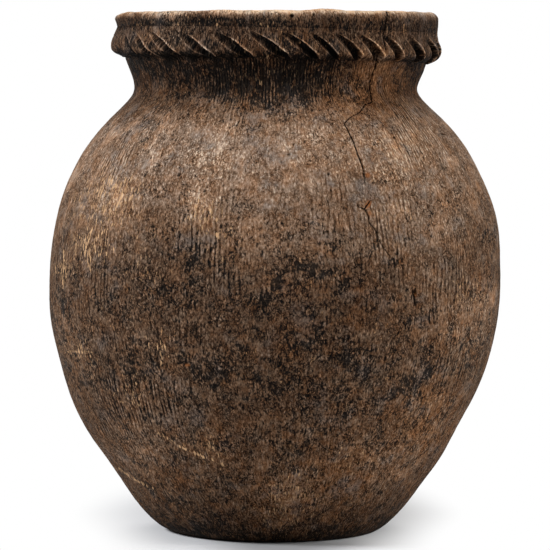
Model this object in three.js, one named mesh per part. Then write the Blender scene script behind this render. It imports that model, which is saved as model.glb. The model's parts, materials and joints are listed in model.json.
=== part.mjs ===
// A hand-built terracotta storage jar with a rope-twist band under its lip.
// Millimetres, +Z up, with the origin at the centre of the flat underside.
//
// The jar is made as a potter makes it: a slab for the base, wall courses set one on the other with
// bevelled lap joints, a neck collar, a lip, and a band laid round the neck over the last joint.
// Every joint keeps a thin film of slip, so no two pieces touch.

import * as THREE from "three";

// Outline of the outside, from the floor up
const BASE_RADIUS = 76; // of the flat underside
const BASE_HANDLE = 13; // how far the underside runs on before the wall turns up
const BELLY_RADIUS = 171; // at the widest point
const BELLY_HEIGHT = 188; // of the widest point above the floor
const LOWER_FULLNESS = 97; // length of the upright tangent below the widest point
const UPPER_FULLNESS = 112; // and above it
const SHOULDER_RISE = 148; // widest point to narrowest point
const NECK_RADIUS = 107; // at the narrowest point
const NECK_CREASE = 17.5; // length of the upright tangent below the narrowest point
const NECK_LEAN = 14; // and above it
const NECK_RISE = 45; // narrowest point to the foot of the lip
const LIP_FLARE = 15.5; // how far the lip stands out past the neck
const LIP_LEAN = 15; // length of the upright tangent under the lip
const LIP_RISE = 11; // foot of the lip to its top
const LIP_ROUND = 4.5; // height of the rounded top

// Thickness of the clay
const BASE_THICKNESS = 15;
const FLOOR_INSET = 6; // edge of the inside floor, in from the edge of the underside
const WALL = 9.5; // at the belly and the neck
const INSIDE_TUCK = 6; // the inside turns in this much sooner above the belly
const LIP_WALL = 12;

// Courses and joints
const SLAB_EDGE_HEIGHT = 9; // top of the base slab's edge, where the first course begins
const SLAB_LEDGE = 1.2; // how far up the inside from the floor the slab ends
const COLLAR_DROP = 6; // foot of the neck collar, below the narrowest point
const LIP_JOINT_DROP = 20; // foot of the lip piece, below the top of the jar
const LAP = 7; // how much further up the wall a joint comes out on the inside
const SLIP = 0.3; // film of slip in every joint

// Rope-twist band
const BAND_DROP = 12.5; // top of the band, below the top of the jar
const BAND_HEIGHT = 22;
const BAND_THICKNESS = 8; // at its crest
const BAND_EDGE = 1.6; // thickness at its thin upper and lower edges
const BAND_CREST = 0.56; // place of the crest, 0 at the top of the band and 1 at the bottom
const GOUGES = 33; // slanting tool marks round the band
const GOUGE_DEPTH = 5.5; // at the crest
const GOUGE_SLANT = 25; // how far round the band a gouge travels on its way down
const GOUGE_START = 0.12; // where a gouge begins, 0 at the top of the band
const FIRST_GOUGE = 5.6; // degrees from the front to the first gouge, to the right
const GOUGE_DRIFT = 3.8; // degrees that hand spacing strays from even spacing
const DRIFT_WAVES = 4; // how often the spacing tightens and opens round the band
const DRIFT_START = -24; // degrees from the front to where the spacing is even

// Fineness of the facets
const ROUND_STEPS = 48; // round the jar
const COURSE_STEPS = 4; // up each side of a course
const LIP_STEPS = 6; // over the rounded top
const GOUGE_STEPS = 5; // round the band, for each gouge
const BAND_STEPS = 5; // down the band

const NECK_HEIGHT = BELLY_HEIGHT + SHOULDER_RISE;
const LIP_HEIGHT = NECK_HEIGHT + NECK_RISE;
const JAR_HEIGHT = LIP_HEIGHT + LIP_RISE;
const LIP_RADIUS = NECK_RADIUS + LIP_FLARE;

// One face of the wall from base to lip, as radius and height: foot, shoulder, neck and lip face.
function wallFace({ base, floor, belly, neck, lip, tuck }) {
  const face = new THREE.Path();
  face.moveTo(base, floor);
  face.bezierCurveTo(base + BASE_HANDLE, floor, belly, BELLY_HEIGHT - LOWER_FULLNESS, belly, BELLY_HEIGHT);
  const shoulderPull = BELLY_HEIGHT + UPPER_FULLNESS - tuck;
  face.bezierCurveTo(belly, shoulderPull, neck, NECK_HEIGHT - NECK_CREASE, neck, NECK_HEIGHT);
  face.bezierCurveTo(neck, NECK_HEIGHT + NECK_LEAN, lip, LIP_HEIGHT - LIP_LEAN, lip, LIP_HEIGHT);
  face.lineTo(lip, JAR_HEIGHT - LIP_ROUND);
  return face;
}

const outside = wallFace({
  base: BASE_RADIUS,
  floor: 0,
  belly: BELLY_RADIUS,
  neck: NECK_RADIUS,
  lip: LIP_RADIUS,
  tuck: 0,
});

const inside = wallFace({
  base: BASE_RADIUS - FLOOR_INSET,
  floor: BASE_THICKNESS,
  belly: BELLY_RADIUS - WALL,
  neck: NECK_RADIUS - WALL,
  lip: LIP_RADIUS - LIP_WALL,
  tuck: INSIDE_TUCK,
});

// A place on a face is a number: whole part for the stretch, fraction for how far along it.
const LAST_PLACE = outside.curves.length;

function stretchAt(face, place) {
  const index = THREE.MathUtils.clamp(Math.floor(place), 0, LAST_PLACE - 1);
  return { curve: face.curves[index], share: place - index };
}

function pointAt(face, place) {
  const { curve, share } = stretchAt(face, place);
  return curve.getPoint(share);
}

function directionAt(face, place) {
  const { curve, share } = stretchAt(face, place);
  return curve.getTangent(share);
}

// The place that lies some millimetres further up a face.
function moved(face, place, distance) {
  const probe = 1e-3;
  const speed = pointAt(face, place + probe).distanceTo(pointAt(face, place - probe)) / (2 * probe);
  return place + distance / speed;
}

// The place on a face at a height, found by halving, because a face only ever rises.
function placeAtHeight(face, height) {
  let low = 0;
  let high = LAST_PLACE;
  for (let halving = 0; halving < 50; halving++) {
    const middle = (low + high) / 2;
    if (pointAt(face, middle).y < height) low = middle;
    else high = middle;
  }
  return (low + high) / 2;
}

// A bevelled joint between a place on the outside and a place on the inside.
// Its sides are the ends of the piece below and of the piece above, a film of slip apart.
function bevelJoint(outer, inner) {
  const bevel = pointAt(inside, inner).sub(pointAt(outside, outer)).normalize();
  const halfGap = (face, place) => SLIP / 2 / Math.abs(bevel.cross(directionAt(face, place)));
  const side = (sign) => ({
    outer: moved(outside, outer, sign * halfGap(outside, outer)),
    inner: moved(inside, inner, sign * halfGap(inside, inner)),
  });
  return { below: side(-1), above: side(1) };
}

// The joint round the edge of the base slab, which runs in to the edge of the floor.
function slabJoint() {
  return bevelJoint(placeAtHeight(outside, SLAB_EDGE_HEIGHT), moved(inside, 0, SLAB_LEDGE));
}

// A lap joint that meets the outside at a height and comes out higher up the inside.
function lapJoint(height) {
  const outer = placeAtHeight(outside, height);
  return bevelJoint(outer, moved(inside, outer, LAP));
}

// Points up a face from one place to another.
function climb(face, from, to, steps = COURSE_STEPS) {
  const points = [];
  for (let step = 0; step <= steps; step++) {
    points.push(pointAt(face, from + ((to - from) * step) / steps));
  }
  return points;
}

const descend = (face, from, to) => climb(face, to, from).reverse();

// A ring of wall between two joints.
function courseGeometry(lowerJoint, upperJoint) {
  const foot = lowerJoint.above;
  const head = upperJoint.below;
  const outline = [
    ...climb(outside, foot.outer, head.outer),
    ...descend(inside, head.inner, foot.inner),
  ];
  outline.push(outline[0].clone());
  return new THREE.LatheGeometry(outline, ROUND_STEPS);
}

// The base: a flat slab whose edge carries the first course.
function slabGeometry(upperJoint) {
  const head = upperJoint.below;
  const outline = [
    new THREE.Vector2(0, 0),
    ...climb(outside, 0, head.outer),
    pointAt(inside, head.inner),
    new THREE.Vector2(0, BASE_THICKNESS),
  ];
  return new THREE.LatheGeometry(outline, ROUND_STEPS);
}

// The lip: an upright ring with a rounded top, set on the neck collar.
function lipGeometry(lowerJoint) {
  const foot = lowerJoint.above;
  const top = new THREE.EllipseCurve(
    LIP_RADIUS - LIP_WALL / 2,
    JAR_HEIGHT - LIP_ROUND,
    LIP_WALL / 2,
    LIP_ROUND,
    0,
    Math.PI,
  );
  const roundedTop = top.getPoints(LIP_STEPS).slice(1, -1);
  const outline = [
    ...climb(outside, foot.outer, LAST_PLACE),
    ...roundedTop,
    ...descend(inside, LAST_PLACE, foot.inner),
  ];
  outline.push(outline[0].clone());
  return new THREE.LatheGeometry(outline, ROUND_STEPS);
}

// Share of a gouge's full depth: none on a lobe, all in the middle of a gouge, fading out above.
function gougeShare(phase, down) {
  const across = Math.max(0, Math.cos(2 * Math.PI * phase));
  return across * THREE.MathUtils.smoothstep(down, GOUGE_START, BAND_CREST);
}

// Thickness of the band before it is gouged, thin at its edges and full at the crest.
function bandThickness(down) {
  const rise = down < BAND_CREST ? down / BAND_CREST : (1 - down) / (1 - BAND_CREST);
  return THREE.MathUtils.lerp(BAND_EDGE, BAND_THICKNESS, rise);
}

// Angle from the front of a mark some share of the way round, with the unevenness of hand spacing.
function gougeAngle(share) {
  const { degToRad } = THREE.MathUtils;
  const even = degToRad(FIRST_GOUGE) + 2 * Math.PI * share;
  return even + degToRad(GOUGE_DRIFT) * Math.sin(DRIFT_WAVES * (even - degToRad(DRIFT_START)));
}

// The band: a ring pressed on the wall, with gouges that slant down to the right seen from outside.
function bandGeometry() {
  const upper = placeAtHeight(outside, JAR_HEIGHT - BAND_DROP);
  const lower = placeAtHeight(outside, JAR_HEIGHT - BAND_DROP - BAND_HEIGHT);
  const slant = GOUGE_SLANT / pointAt(outside, (upper + lower) / 2).x;
  const columns = GOUGES * GOUGE_STEPS;
  const rows = BAND_STEPS + 1;
  const positions = [];

  const addPoint = (place, offset, angle) => {
    const direction = directionAt(outside, place);
    const point = pointAt(outside, place).add(new THREE.Vector2(direction.y, -direction.x).multiplyScalar(offset));
    positions.push(point.x * Math.sin(angle), point.y, point.x * Math.cos(angle));
  };

  for (let column = 0; column < columns; column++) {
    const phase = (column % GOUGE_STEPS) / GOUGE_STEPS;
    const middle = gougeAngle(column / columns);
    const sectionPoint = (row, offsetAt) => {
      const down = row / BAND_STEPS;
      const place = THREE.MathUtils.lerp(upper, lower, down);
      addPoint(place, offsetAt(down), middle + slant * (down - 0.5));
    };
    for (let row = 0; row < rows; row++) {
      sectionPoint(row, (down) => {
        const full = bandThickness(down);
        return SLIP + Math.max(BAND_EDGE, full - GOUGE_DEPTH * gougeShare(phase, down));
      });
    }
    for (let row = rows - 1; row >= 0; row--) sectionPoint(row, () => SLIP);
  }
  return closedRing(positions, columns, 2 * rows);
}

// Joins equal sections, listed one after the other round the jar, into a closed ring.
function closedRing(positions, columns, sectionSize) {
  const index = [];
  for (let column = 0; column < columns; column++) {
    const here = column * sectionSize;
    const next = ((column + 1) % columns) * sectionSize;
    for (let i = 0; i < sectionSize; i++) {
      const j = (i + 1) % sectionSize;
      index.push(here + i, here + j, next + i);
      index.push(next + i, here + j, next + j);
    }
  }
  const geometry = new THREE.BufferGeometry();
  geometry.setAttribute("position", new THREE.Float32BufferAttribute(positions, 3));
  geometry.setIndex(index);
  geometry.computeVertexNormals();
  return geometry;
}

// Fired clay, darker where smoke and handling have stained it.
function firedClay(colour) {
  return new THREE.MeshStandardMaterial({ color: colour, roughness: 0.85, metalness: 0 });
}

const FOOT_CLAY = firedClay("#4a3828");
const BELLY_CLAY = firedClay("#55412f");
const SHOULDER_CLAY = firedClay("#8a6f5a");
const NECK_CLAY = firedClay("#35291d");
const LIP_CLAY = firedClay("#6b5340");
const BAND_CLAY = firedClay("#4b3a2c");

// Heights of the joints: the wall below the belly and the wall above it are each shared out evenly.
const LOWER_COURSES = ["heel_course", "foot_course", "lower_wall_course", "lower_belly_course"];
const UPPER_COURSES = ["upper_belly_course", "lower_shoulder_course", "upper_shoulder_course"];
const COLLAR_HEIGHT = NECK_HEIGHT - COLLAR_DROP;

const evenJoints = (from, to, count) =>
  Array.from({ length: count }, (_, i) => lapJoint(from + ((to - from) * (i + 1)) / count));

const joints = [
  slabJoint(),
  ...evenJoints(SLAB_EDGE_HEIGHT, BELLY_HEIGHT, LOWER_COURSES.length),
  ...evenJoints(BELLY_HEIGHT, COLLAR_HEIGHT, UPPER_COURSES.length),
  lapJoint(JAR_HEIGHT - LIP_JOINT_DROP),
];

// Lathes turn round +Y, so the pieces stand in a group that turns +Y up to +Z.
const upright = new THREE.Group();
upright.rotation.x = Math.PI / 2;

function addPiece(name, geometry, material) {
  const piece = new THREE.Mesh(geometry, material);
  piece.name = name;
  upright.add(piece);
}

const courseNames = [...LOWER_COURSES, ...UPPER_COURSES, "neck_collar"];
const courseClay = {
  heel_course: FOOT_CLAY,
  foot_course: FOOT_CLAY,
  lower_wall_course: FOOT_CLAY,
  lower_belly_course: BELLY_CLAY,
  upper_belly_course: BELLY_CLAY,
  lower_shoulder_course: SHOULDER_CLAY,
  upper_shoulder_course: SHOULDER_CLAY,
  neck_collar: NECK_CLAY,
};

addPiece("base_slab", slabGeometry(joints[0]), FOOT_CLAY);
courseNames.forEach((name, i) => {
  addPiece(name, courseGeometry(joints[i], joints[i + 1]), courseClay[name]);
});
addPiece("rim_lip", lipGeometry(joints.at(-1)), LIP_CLAY);
addPiece("rope_band", bandGeometry(), BAND_CLAY);

const jar = new THREE.Group();
jar.name = "terracotta_jar";
jar.add(upright);

export default jar;
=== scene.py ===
"""Dresses the terracotta jar: combed, smoke-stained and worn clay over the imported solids."""

import json
import logging
import math
from abc import ABC, abstractmethod
from dataclasses import dataclass
from enum import Enum
from typing import Any

import bpy
import numpy as np
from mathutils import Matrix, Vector


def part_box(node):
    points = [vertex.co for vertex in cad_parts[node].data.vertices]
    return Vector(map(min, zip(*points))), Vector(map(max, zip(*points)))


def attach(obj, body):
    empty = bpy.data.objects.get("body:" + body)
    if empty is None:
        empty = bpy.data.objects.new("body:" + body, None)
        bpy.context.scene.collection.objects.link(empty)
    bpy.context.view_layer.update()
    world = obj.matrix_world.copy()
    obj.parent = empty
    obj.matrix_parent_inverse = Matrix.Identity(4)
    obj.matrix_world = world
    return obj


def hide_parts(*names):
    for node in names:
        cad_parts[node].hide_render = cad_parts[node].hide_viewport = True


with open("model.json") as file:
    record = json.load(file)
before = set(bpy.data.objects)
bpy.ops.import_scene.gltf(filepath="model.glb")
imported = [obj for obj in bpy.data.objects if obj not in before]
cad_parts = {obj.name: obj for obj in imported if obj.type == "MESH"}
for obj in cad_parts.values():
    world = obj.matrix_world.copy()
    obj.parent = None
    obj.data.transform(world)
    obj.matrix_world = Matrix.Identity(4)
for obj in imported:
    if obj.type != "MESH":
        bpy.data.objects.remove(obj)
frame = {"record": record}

log = logging.getLogger("terracotta_jar")

Socket = bpy.types.NodeSocket
Feed = float | int | str | bool | tuple[float, ...] | Socket
Pair = tuple[float, float]
Triple = tuple[float, float, float]

MM = 0.001
PLACE_RADIUS = 140 * MM  # radius at which marks on the wall have their true width


def linear(colour: str) -> tuple[float, float, float, float]:
    """Turns a screen colour into the linear one that shaders take.

    Args:
        colour: The colour as "#rrggbb".

    Returns:
        Red, green, blue and alpha, from 0 to 1.
    """
    shares = [int(colour[i : i + 2], 16) / 255 for i in (1, 3, 5)]
    red, green, blue = (s / 12.92 if s <= 0.04045 else ((s + 0.055) / 1.055) ** 2.4 for s in shares)
    return red, green, blue, 1.0


def smooth_step(value: np.ndarray, low: float, high: float) -> np.ndarray:
    """Eases from 0 at low to 1 at high."""
    share = np.clip((value - low) / (high - low), 0, 1)
    return share * share * (3 - 2 * share)


def field_name(socket: str) -> str:
    """Gives the field or attribute that feeds a node's input."""
    return socket.lower().replace(" ", "_")


@dataclass(frozen=True)
class Noise:
    """A kind of noise."""

    size: Feed  # width of its lumps, in metres
    layers: float = 2.0  # how many finer layers it has
    roughness: float = 0.55  # how strong the finer layers are
    curl: float = 0.0  # how far the lumps are bent
    squeeze: float = 1.0  # under 1, the lumps run up the wall


class NodeBench:
    """Lays nodes in a tree, with a short call for each common kind.

    Below, a named pair or four of numbers is mostly an easing: low and high, then start and end where
    they aren't 0 and 1.
    """

    def __init__(self, tree: bpy.types.NodeTree) -> None:
        """Takes the tree to work on."""
        self.tree = tree

    def feed(self, socket: Socket, value: Feed) -> None:
        """Feeds an input.

        Args:
            socket: The input.
            value: A socket to link it to, or a plain value to set it to.
        """
        if isinstance(value, bpy.types.NodeSocket):
            self.tree.links.new(value, socket)
        else:
            socket.default_value = value

    def add(self, kind: str, inputs: dict[str | int, Feed] | None = None, **settings: Any) -> bpy.types.Node:
        """Adds a node.

        Args:
            kind: Blender's name for the node.
            inputs: Values or sockets, by the input's name or number.
            **settings: Properties of the node.

        Returns:
            The new node.
        """
        node = self.tree.nodes.new(kind)
        for name, value in settings.items():
            setattr(node, name, value)
        for key, value in (inputs or {}).items():
            self.feed(node.inputs[key], value)
        return node

    def math(self, operation: str, *values: Feed, clamp: bool = False) -> Socket:
        """Adds a number to number operation and returns its result."""
        inputs = dict(enumerate(values))
        return self.add("ShaderNodeMath", inputs, operation=operation, use_clamp=clamp).outputs[0]

    def product(self, first: Feed, *factors: Feed) -> Socket:
        """Multiplies numbers.

        Args:
            first: The first number.
            *factors: The others.

        Returns:
            Their product.
        """
        for factor in factors:
            first = self.math("MULTIPLY", first, factor)
        return first

    def summed(self, start: Feed, *parts: tuple[Feed, Feed]) -> Socket:
        """Adds shares of further numbers to a number.

        Args:
            start: The number.
            *parts: Each further number with its share.

        Returns:
            The sum.
        """
        for part, share in parts:
            start = self.math("MULTIPLY_ADD", part, share, start)
        return start

    def vector(self, operation: str, *values: Feed) -> Socket:
        """Adds a vector operation and returns the vector it gives."""
        return self.add("ShaderNodeVectorMath", dict(enumerate(values)), operation=operation).outputs[0]

    def distance(self, first: Feed, second: Feed) -> Socket:
        """Gives the distance between two places."""
        return self.add("ShaderNodeVectorMath", {0: first, 1: second}, operation="DISTANCE").outputs["Value"]

    def scaled(self, vector: Feed, factor: Feed) -> Socket:
        """Multiplies a vector by a number."""
        return self.add("ShaderNodeVectorMath", {0: vector, "Scale": factor}, operation="SCALE").outputs[0]

    def joined(self, x: Feed, y: Feed, z: Feed) -> Socket:
        """Makes a vector of three numbers."""
        return self.add("ShaderNodeCombineXYZ", {"X": x, "Y": y, "Z": z}).outputs[0]

    def parted(self, vector: Feed) -> tuple[Socket, Socket, Socket]:
        """Splits a vector into its three numbers."""
        outputs = self.add("ShaderNodeSeparateXYZ", {"Vector": vector}).outputs
        return outputs[0], outputs[1], outputs[2]

    def eased(self, value: Feed, low: Feed, high: Feed, start: float = 0.0, end: float = 1.0) -> Socket:
        """Eases from start, where the value is low, to end, where it is high."""
        limits = {"Value": value, "From Min": low, "From Max": high, "To Min": start, "To Max": end}
        return self.add("ShaderNodeMapRange", limits, interpolation_type="SMOOTHSTEP").outputs[0]

    def mixed(self, share: Feed, first: Feed, second: Feed) -> Socket:
        """Mixes two numbers."""
        return self.add("ShaderNodeMix", {0: share, 2: first, 3: second}).outputs[0]

    def tinted(self, share: Feed, first: Feed, second: Feed, blend: str = "MIX") -> Socket:
        """Lays a share of the second colour over the first."""
        inputs = {0: share, 6: first, 7: second}
        return self.add("ShaderNodeMix", inputs, data_type="RGBA", blend_type=blend).outputs[2]

    def ramp(self, value: Feed, stops: tuple[tuple[float, str], ...]) -> Socket:
        """Colours a value.

        Args:
            value: A number from 0 to 1.
            stops: Numbers and their screen colours, rising.

        Returns:
            The colour.
        """
        node = self.add("ShaderNodeValToRGB", {0: value})
        elements = node.color_ramp.elements
        while len(elements) < len(stops):
            elements.new(0.5)
        for element, (position, colour) in zip(elements, stops):
            element.position = position
            element.color = linear(colour)
        return node.outputs[0]

    def noise(self, place: Feed, kind: Noise) -> Socket:
        """Adds noise that swings between -1 and 1.

        Args:
            place: Where the noise is read.
            kind: The kind of noise.

        Returns:
            The noise, mostly within -0.6 and 0.6.
        """
        if kind.squeeze != 1.0:
            place = self.vector("MULTIPLY", place, (1.0, 1.0, kind.squeeze))
        inputs = {
            "Vector": place,
            "Scale": self.math("DIVIDE", 1.0, kind.size),
            "Detail": kind.layers,
            "Roughness": kind.roughness,
            "Distortion": kind.curl,
        }
        value = self.add("ShaderNodeTexNoise", inputs).outputs[0]
        return self.math("MULTIPLY_ADD", value, 2.0, -1.0)


class TreeKind(Enum):
    """The two kinds of node tree."""

    SHAPE = "GeometryNodeTree"
    FINISH = "ShaderNodeTree"


class NodeRecipe:
    """A node tree with named inputs and outputs."""

    SOCKETS = {
        "geometry": "NodeSocketGeometry",
        "number": "NodeSocketFloat",
        "count": "NodeSocketInt",
        "vector": "NodeSocketVector",
        "colour": "NodeSocketColor",
        "material": "NodeSocketMaterial",
    }

    def __init__(self, name: str, kind: TreeKind, inputs: dict[str, str], outputs: dict[str, str]) -> None:
        """Makes an empty tree.

        Args:
            name: The tree's name.
            kind: Whether it makes shapes or finishes.
            inputs: Kind of each input, by its name.
            outputs: Kind of each output, by its name.
        """
        self.tree = bpy.data.node_groups.new(name, kind.value)
        self.bench = NodeBench(self.tree)
        self.names: dict[str, str] = {}
        for side, sockets in (("INPUT", inputs), ("OUTPUT", outputs)):
            for socket_name, socket_kind in sockets.items():
                socket = self.tree.interface.new_socket(
                    socket_name, in_out=side, socket_type=self.SOCKETS[socket_kind]
                )
                if side == "INPUT":
                    self.names[socket_name] = socket.identifier
        self.given = self.bench.add("NodeGroupInput").outputs
        self.result = self.bench.add("NodeGroupOutput").inputs


class Skin(Enum):
    """How much of the hand's work a stretch of the section takes."""

    WORKED = 1.0
    PLAIN = 0.0


@dataclass(frozen=True)
class Stretch:
    """One stretch of a section, from corner to corner, as radius and height."""

    points: np.ndarray
    row_gap: float  # metres between two rows, at most
    skin: Skin
    first_run: float = 0.0  # distance up the wall where it starts

    def rows(self) -> tuple[np.ndarray, np.ndarray, np.ndarray]:
        """Places rows along the stretch.

        Returns:
            Points, outward normals and distances up the wall, one row each.
        """
        run = run_along(self.points)
        count = max(2, math.ceil(run[-1] / self.row_gap) + 1)
        at = np.linspace(0, run[-1], count)
        points = np.stack([np.interp(at, run, self.points[:, i]) for i in (0, 1)], 1)
        slope = np.gradient(self.points, run, axis=0)
        along = np.stack([np.interp(at, run, slope[:, i]) for i in (0, 1)], 1)
        normals = np.stack([along[:, 1], -along[:, 0]], 1)
        normals /= np.linalg.norm(normals, axis=1, keepdims=True)
        return points, normals, self.first_run + at


def run_along(points: np.ndarray) -> np.ndarray:
    """Gives the distance from the first point to each point, along the line."""
    steps = np.linalg.norm(np.diff(points, axis=0), axis=1)
    return np.concatenate([[0.0], np.cumsum(steps)])


def bow(start: Pair, start_pull: Pair, end_pull: Pair, end: Pair, steps: int = 400) -> np.ndarray:
    """Draws a cubic curve.

    Args:
        start: Radius and height where it starts.
        start_pull: The point that its start heads for.
        end_pull: The point that its end comes from.
        end: Radius and height where it ends.
        steps: How many points it has.

    Returns:
        Points of radius and height.
    """
    share = np.linspace(0, 1, steps)[:, None]
    rest = 1 - share
    ends = rest**3 * np.array(start) + share**3 * np.array(end)
    pulls = 3 * rest**2 * share * np.array(start_pull) + 3 * rest * share**2 * np.array(end_pull)
    return ends + pulls


class WallFace:
    """One face of the wall, from the base to the lip."""

    SAME = 1e-7  # metres within which two points are one
    CLOSE = 1e-6  # metres within which a point is left out next to an end

    def __init__(self, points: np.ndarray) -> None:
        """Takes the face's points.

        Args:
            points: Close points of radius and height, rising all the way.
        """
        apart = np.linalg.norm(np.diff(points, axis=0), axis=1) > self.SAME
        self.points = points[np.concatenate([[True], apart])]
        self.run = run_along(self.points)

    def run_at(self, height: float) -> float:
        """Gives the distance along the face to a height."""
        return float(np.interp(height, self.points[:, 1], self.run))

    def between(self, low: float, high: float) -> np.ndarray:
        """Gives the part of the face between two distances along it.

        Args:
            low: Distance to its lower end.
            high: Distance to its upper end.

        Returns:
            Points of radius and height, both ends included.
        """
        inner = self.run[(self.run > low + self.CLOSE) & (self.run < high - self.CLOSE)]
        at = np.concatenate([[low], inner, [high]])
        return np.stack([np.interp(at, self.run, self.points[:, i]) for i in (0, 1)], 1)


@dataclass(frozen=True)
class JarOutline:
    """The outline of the jar, the same as the solids', in metres."""

    base_radius: float = 76 * MM
    base_handle: float = 13 * MM  # how far the foot runs out flat as it turns up
    belly_radius: float = 171 * MM
    belly_height: float = 188 * MM
    lower_fullness: float = 97 * MM  # how far the belly stays upright on the way down
    upper_fullness: float = 112 * MM  # and on the way up
    shoulder_rise: float = 148 * MM  # from the belly to the narrowest point of the neck
    neck_radius: float = 107 * MM
    neck_crease: float = 17.5 * MM  # how far the neck stays upright on the way down
    neck_lean: float = 14 * MM  # and on the way up
    neck_rise: float = 45 * MM  # from the narrowest point to the foot of the lip
    lip_flare: float = 15.5 * MM  # how far the lip stands out from the neck
    lip_lean: float = 15 * MM  # how far the lip stays upright on the way down
    lip_rise: float = 11 * MM
    lip_round: float = 4.5 * MM  # height of its rounded top
    base_thickness: float = 15 * MM
    floor_inset: float = 6 * MM  # how far the floor's edge lies within the base's
    wall: float = 9.5 * MM
    inside_tuck: float = 6 * MM  # how much less full the shoulder is inside
    lip_wall: float = 12 * MM
    lip_steps: int = 60

    @property
    def neck_height(self) -> float:
        """Height of the narrowest point."""
        return self.belly_height + self.shoulder_rise

    @property
    def lip_height(self) -> float:
        """Height of the foot of the lip."""
        return self.neck_height + self.neck_rise

    @property
    def height(self) -> float:
        """Height of the whole jar."""
        return self.lip_height + self.lip_rise

    @property
    def lip_radius(self) -> float:
        """Radius of the lip's outside."""
        return self.neck_radius + self.lip_flare

    def _face(self, base: float, floor: float, thin: float, lip: float, tuck: float) -> WallFace:
        """Draws one face of the wall.

        Args:
            base: Radius of its foot.
            floor: Height of its foot.
            thin: How far it lies within the outside.
            lip: Radius of its upper end.
            tuck: How much less full its shoulder is.

        Returns:
            The face.
        """
        belly = self.belly_radius - thin
        neck = self.neck_radius - thin
        foot = bow(
            (base, floor),
            (base + self.base_handle, floor),
            (belly, self.belly_height - self.lower_fullness),
            (belly, self.belly_height),
        )
        shoulder = bow(
            (belly, self.belly_height),
            (belly, self.belly_height + self.upper_fullness - tuck),
            (neck, self.neck_height - self.neck_crease),
            (neck, self.neck_height),
        )
        collar = bow(
            (neck, self.neck_height),
            (neck, self.neck_height + self.neck_lean),
            (lip, self.lip_height - self.lip_lean),
            (lip, self.lip_height),
        )
        return WallFace(np.vstack([foot, shoulder, collar, [(lip, self.height - self.lip_round)]]))

    def outside(self) -> WallFace:
        """Gives the outside face."""
        return self._face(self.base_radius, 0.0, 0.0, self.lip_radius, 0.0)

    def inside(self) -> WallFace:
        """Draws the inside face.

        Returns:
            The face.
        """
        base = self.base_radius - self.floor_inset
        lip = self.lip_radius - self.lip_wall
        return self._face(base, self.base_thickness, self.wall, lip, self.inside_tuck)

    def lip_top(self) -> np.ndarray:
        """Draws the rounded top of the lip.

        Returns:
            Points of radius and height, from the outside over to the inside.
        """
        angle = np.linspace(0, math.pi, self.lip_steps)
        half = self.lip_wall / 2
        radius = self.lip_radius - half + half * np.cos(angle)
        height = self.height - self.lip_round + self.lip_round * np.sin(angle)
        return np.stack([radius, height], 1)


@dataclass(frozen=True)
class PhotoView:
    """The camera of the photograph, and where a point of the jar falls in it."""

    frame_px: int = 550  # side of the square photograph
    distance: float = 2.4  # metres from the jar's axis, along the floor
    eye_height: float = 0.330
    aim_height: float = 0.194  # height on the axis that falls in the middle of the photograph
    metres_per_px: float = 0.76 * MM  # at the jar's axis
    sensor_mm: float = 36.0

    @property
    def _pitch(self) -> float:
        """Angle at which the camera looks down."""
        return math.atan2(self.eye_height - self.aim_height, self.distance)

    def pixels(self, points: np.ndarray) -> np.ndarray:
        """Gives the pixel of each point.

        Args:
            points: Points of the jar, in metres.

        Returns:
            Columns and rows of the photograph.
        """
        ahead = points[:, 1] + self.distance
        above = points[:, 2] - self.eye_height
        cosine, sine = math.cos(self._pitch), math.sin(self._pitch)
        depth = ahead * cosine - above * sine
        rise = ahead * sine + above * cosine
        focal = self.distance / self.metres_per_px
        middle = self.frame_px / 2
        return np.stack([middle + focal * points[:, 0] / depth, middle - focal * rise / depth], 1)

    def facing(self, points: np.ndarray, normals: np.ndarray) -> np.ndarray:
        """Gives how squarely each point faces the camera.

        Args:
            points: Points of the jar, in metres.
            normals: Their normals.

        Returns:
            -1 for a point that faces away, to 1.
        """
        towards = np.array([0.0, -self.distance, self.eye_height]) - points
        towards /= np.linalg.norm(towards, axis=1, keepdims=True)
        return np.einsum("ij,ij->i", towards, normals)

    def place_camera(self) -> None:
        """Sets up the scene's camera at the photograph's viewing angle."""
        data = bpy.data.cameras.new("photo_camera")
        data.sensor_width = self.sensor_mm
        data.lens = self.sensor_mm * self.distance / self.metres_per_px / self.frame_px
        camera = bpy.data.objects.new("photo_camera", data)
        camera.location = (0.0, -self.distance, self.eye_height)
        aim = Vector((0.0, 0.0, self.aim_height)) - camera.location
        camera.rotation_euler = aim.to_track_quat("-Z", "Y").to_euler()
        bpy.context.scene.collection.objects.link(camera)
        bpy.context.scene.camera = camera


class Stain(Enum):
    """What a soft mark does to the clay. The value is the attribute that holds it."""

    # wear also carries painted sheen on the jar's edges and a painted highlight on the band's lobe edges;
    # lowered, it carries painted shade in and under the band
    WEAR_AND_PAINTED_LIGHT = "wear"
    # soot also carries painted shade in and under the band, on the neck below it and on the neck's left edge
    SOOT_AND_PAINTED_SHADE = "soot"
    RUST = "rust"
    COMBING = "combing"


@dataclass(frozen=True)
class Patch:
    """A soft mark centred on a pixel of the photograph."""

    x: float
    y: float
    reach: float  # pixels
    strength: float
    stretch: float = 1.0  # how many times longer than wide it is
    lean: float = 0.0  # degrees that its long way turns clockwise from level

    def share(self, pixels: np.ndarray) -> np.ndarray:
        """Gives how much of the mark each pixel gets.

        Args:
            pixels: Columns and rows of the photograph.

        Returns:
            The mark's strength in the middle, easing to nothing past its reach.
        """
        angle = math.radians(self.lean)
        across = pixels - (self.x, self.y)
        along = (across[:, 0] * math.cos(angle) + across[:, 1] * math.sin(angle)) / self.stretch
        aside = across[:, 1] * math.cos(angle) - across[:, 0] * math.sin(angle)
        return self.strength * np.exp(-(along**2 + aside**2) / self.reach**2)


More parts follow.
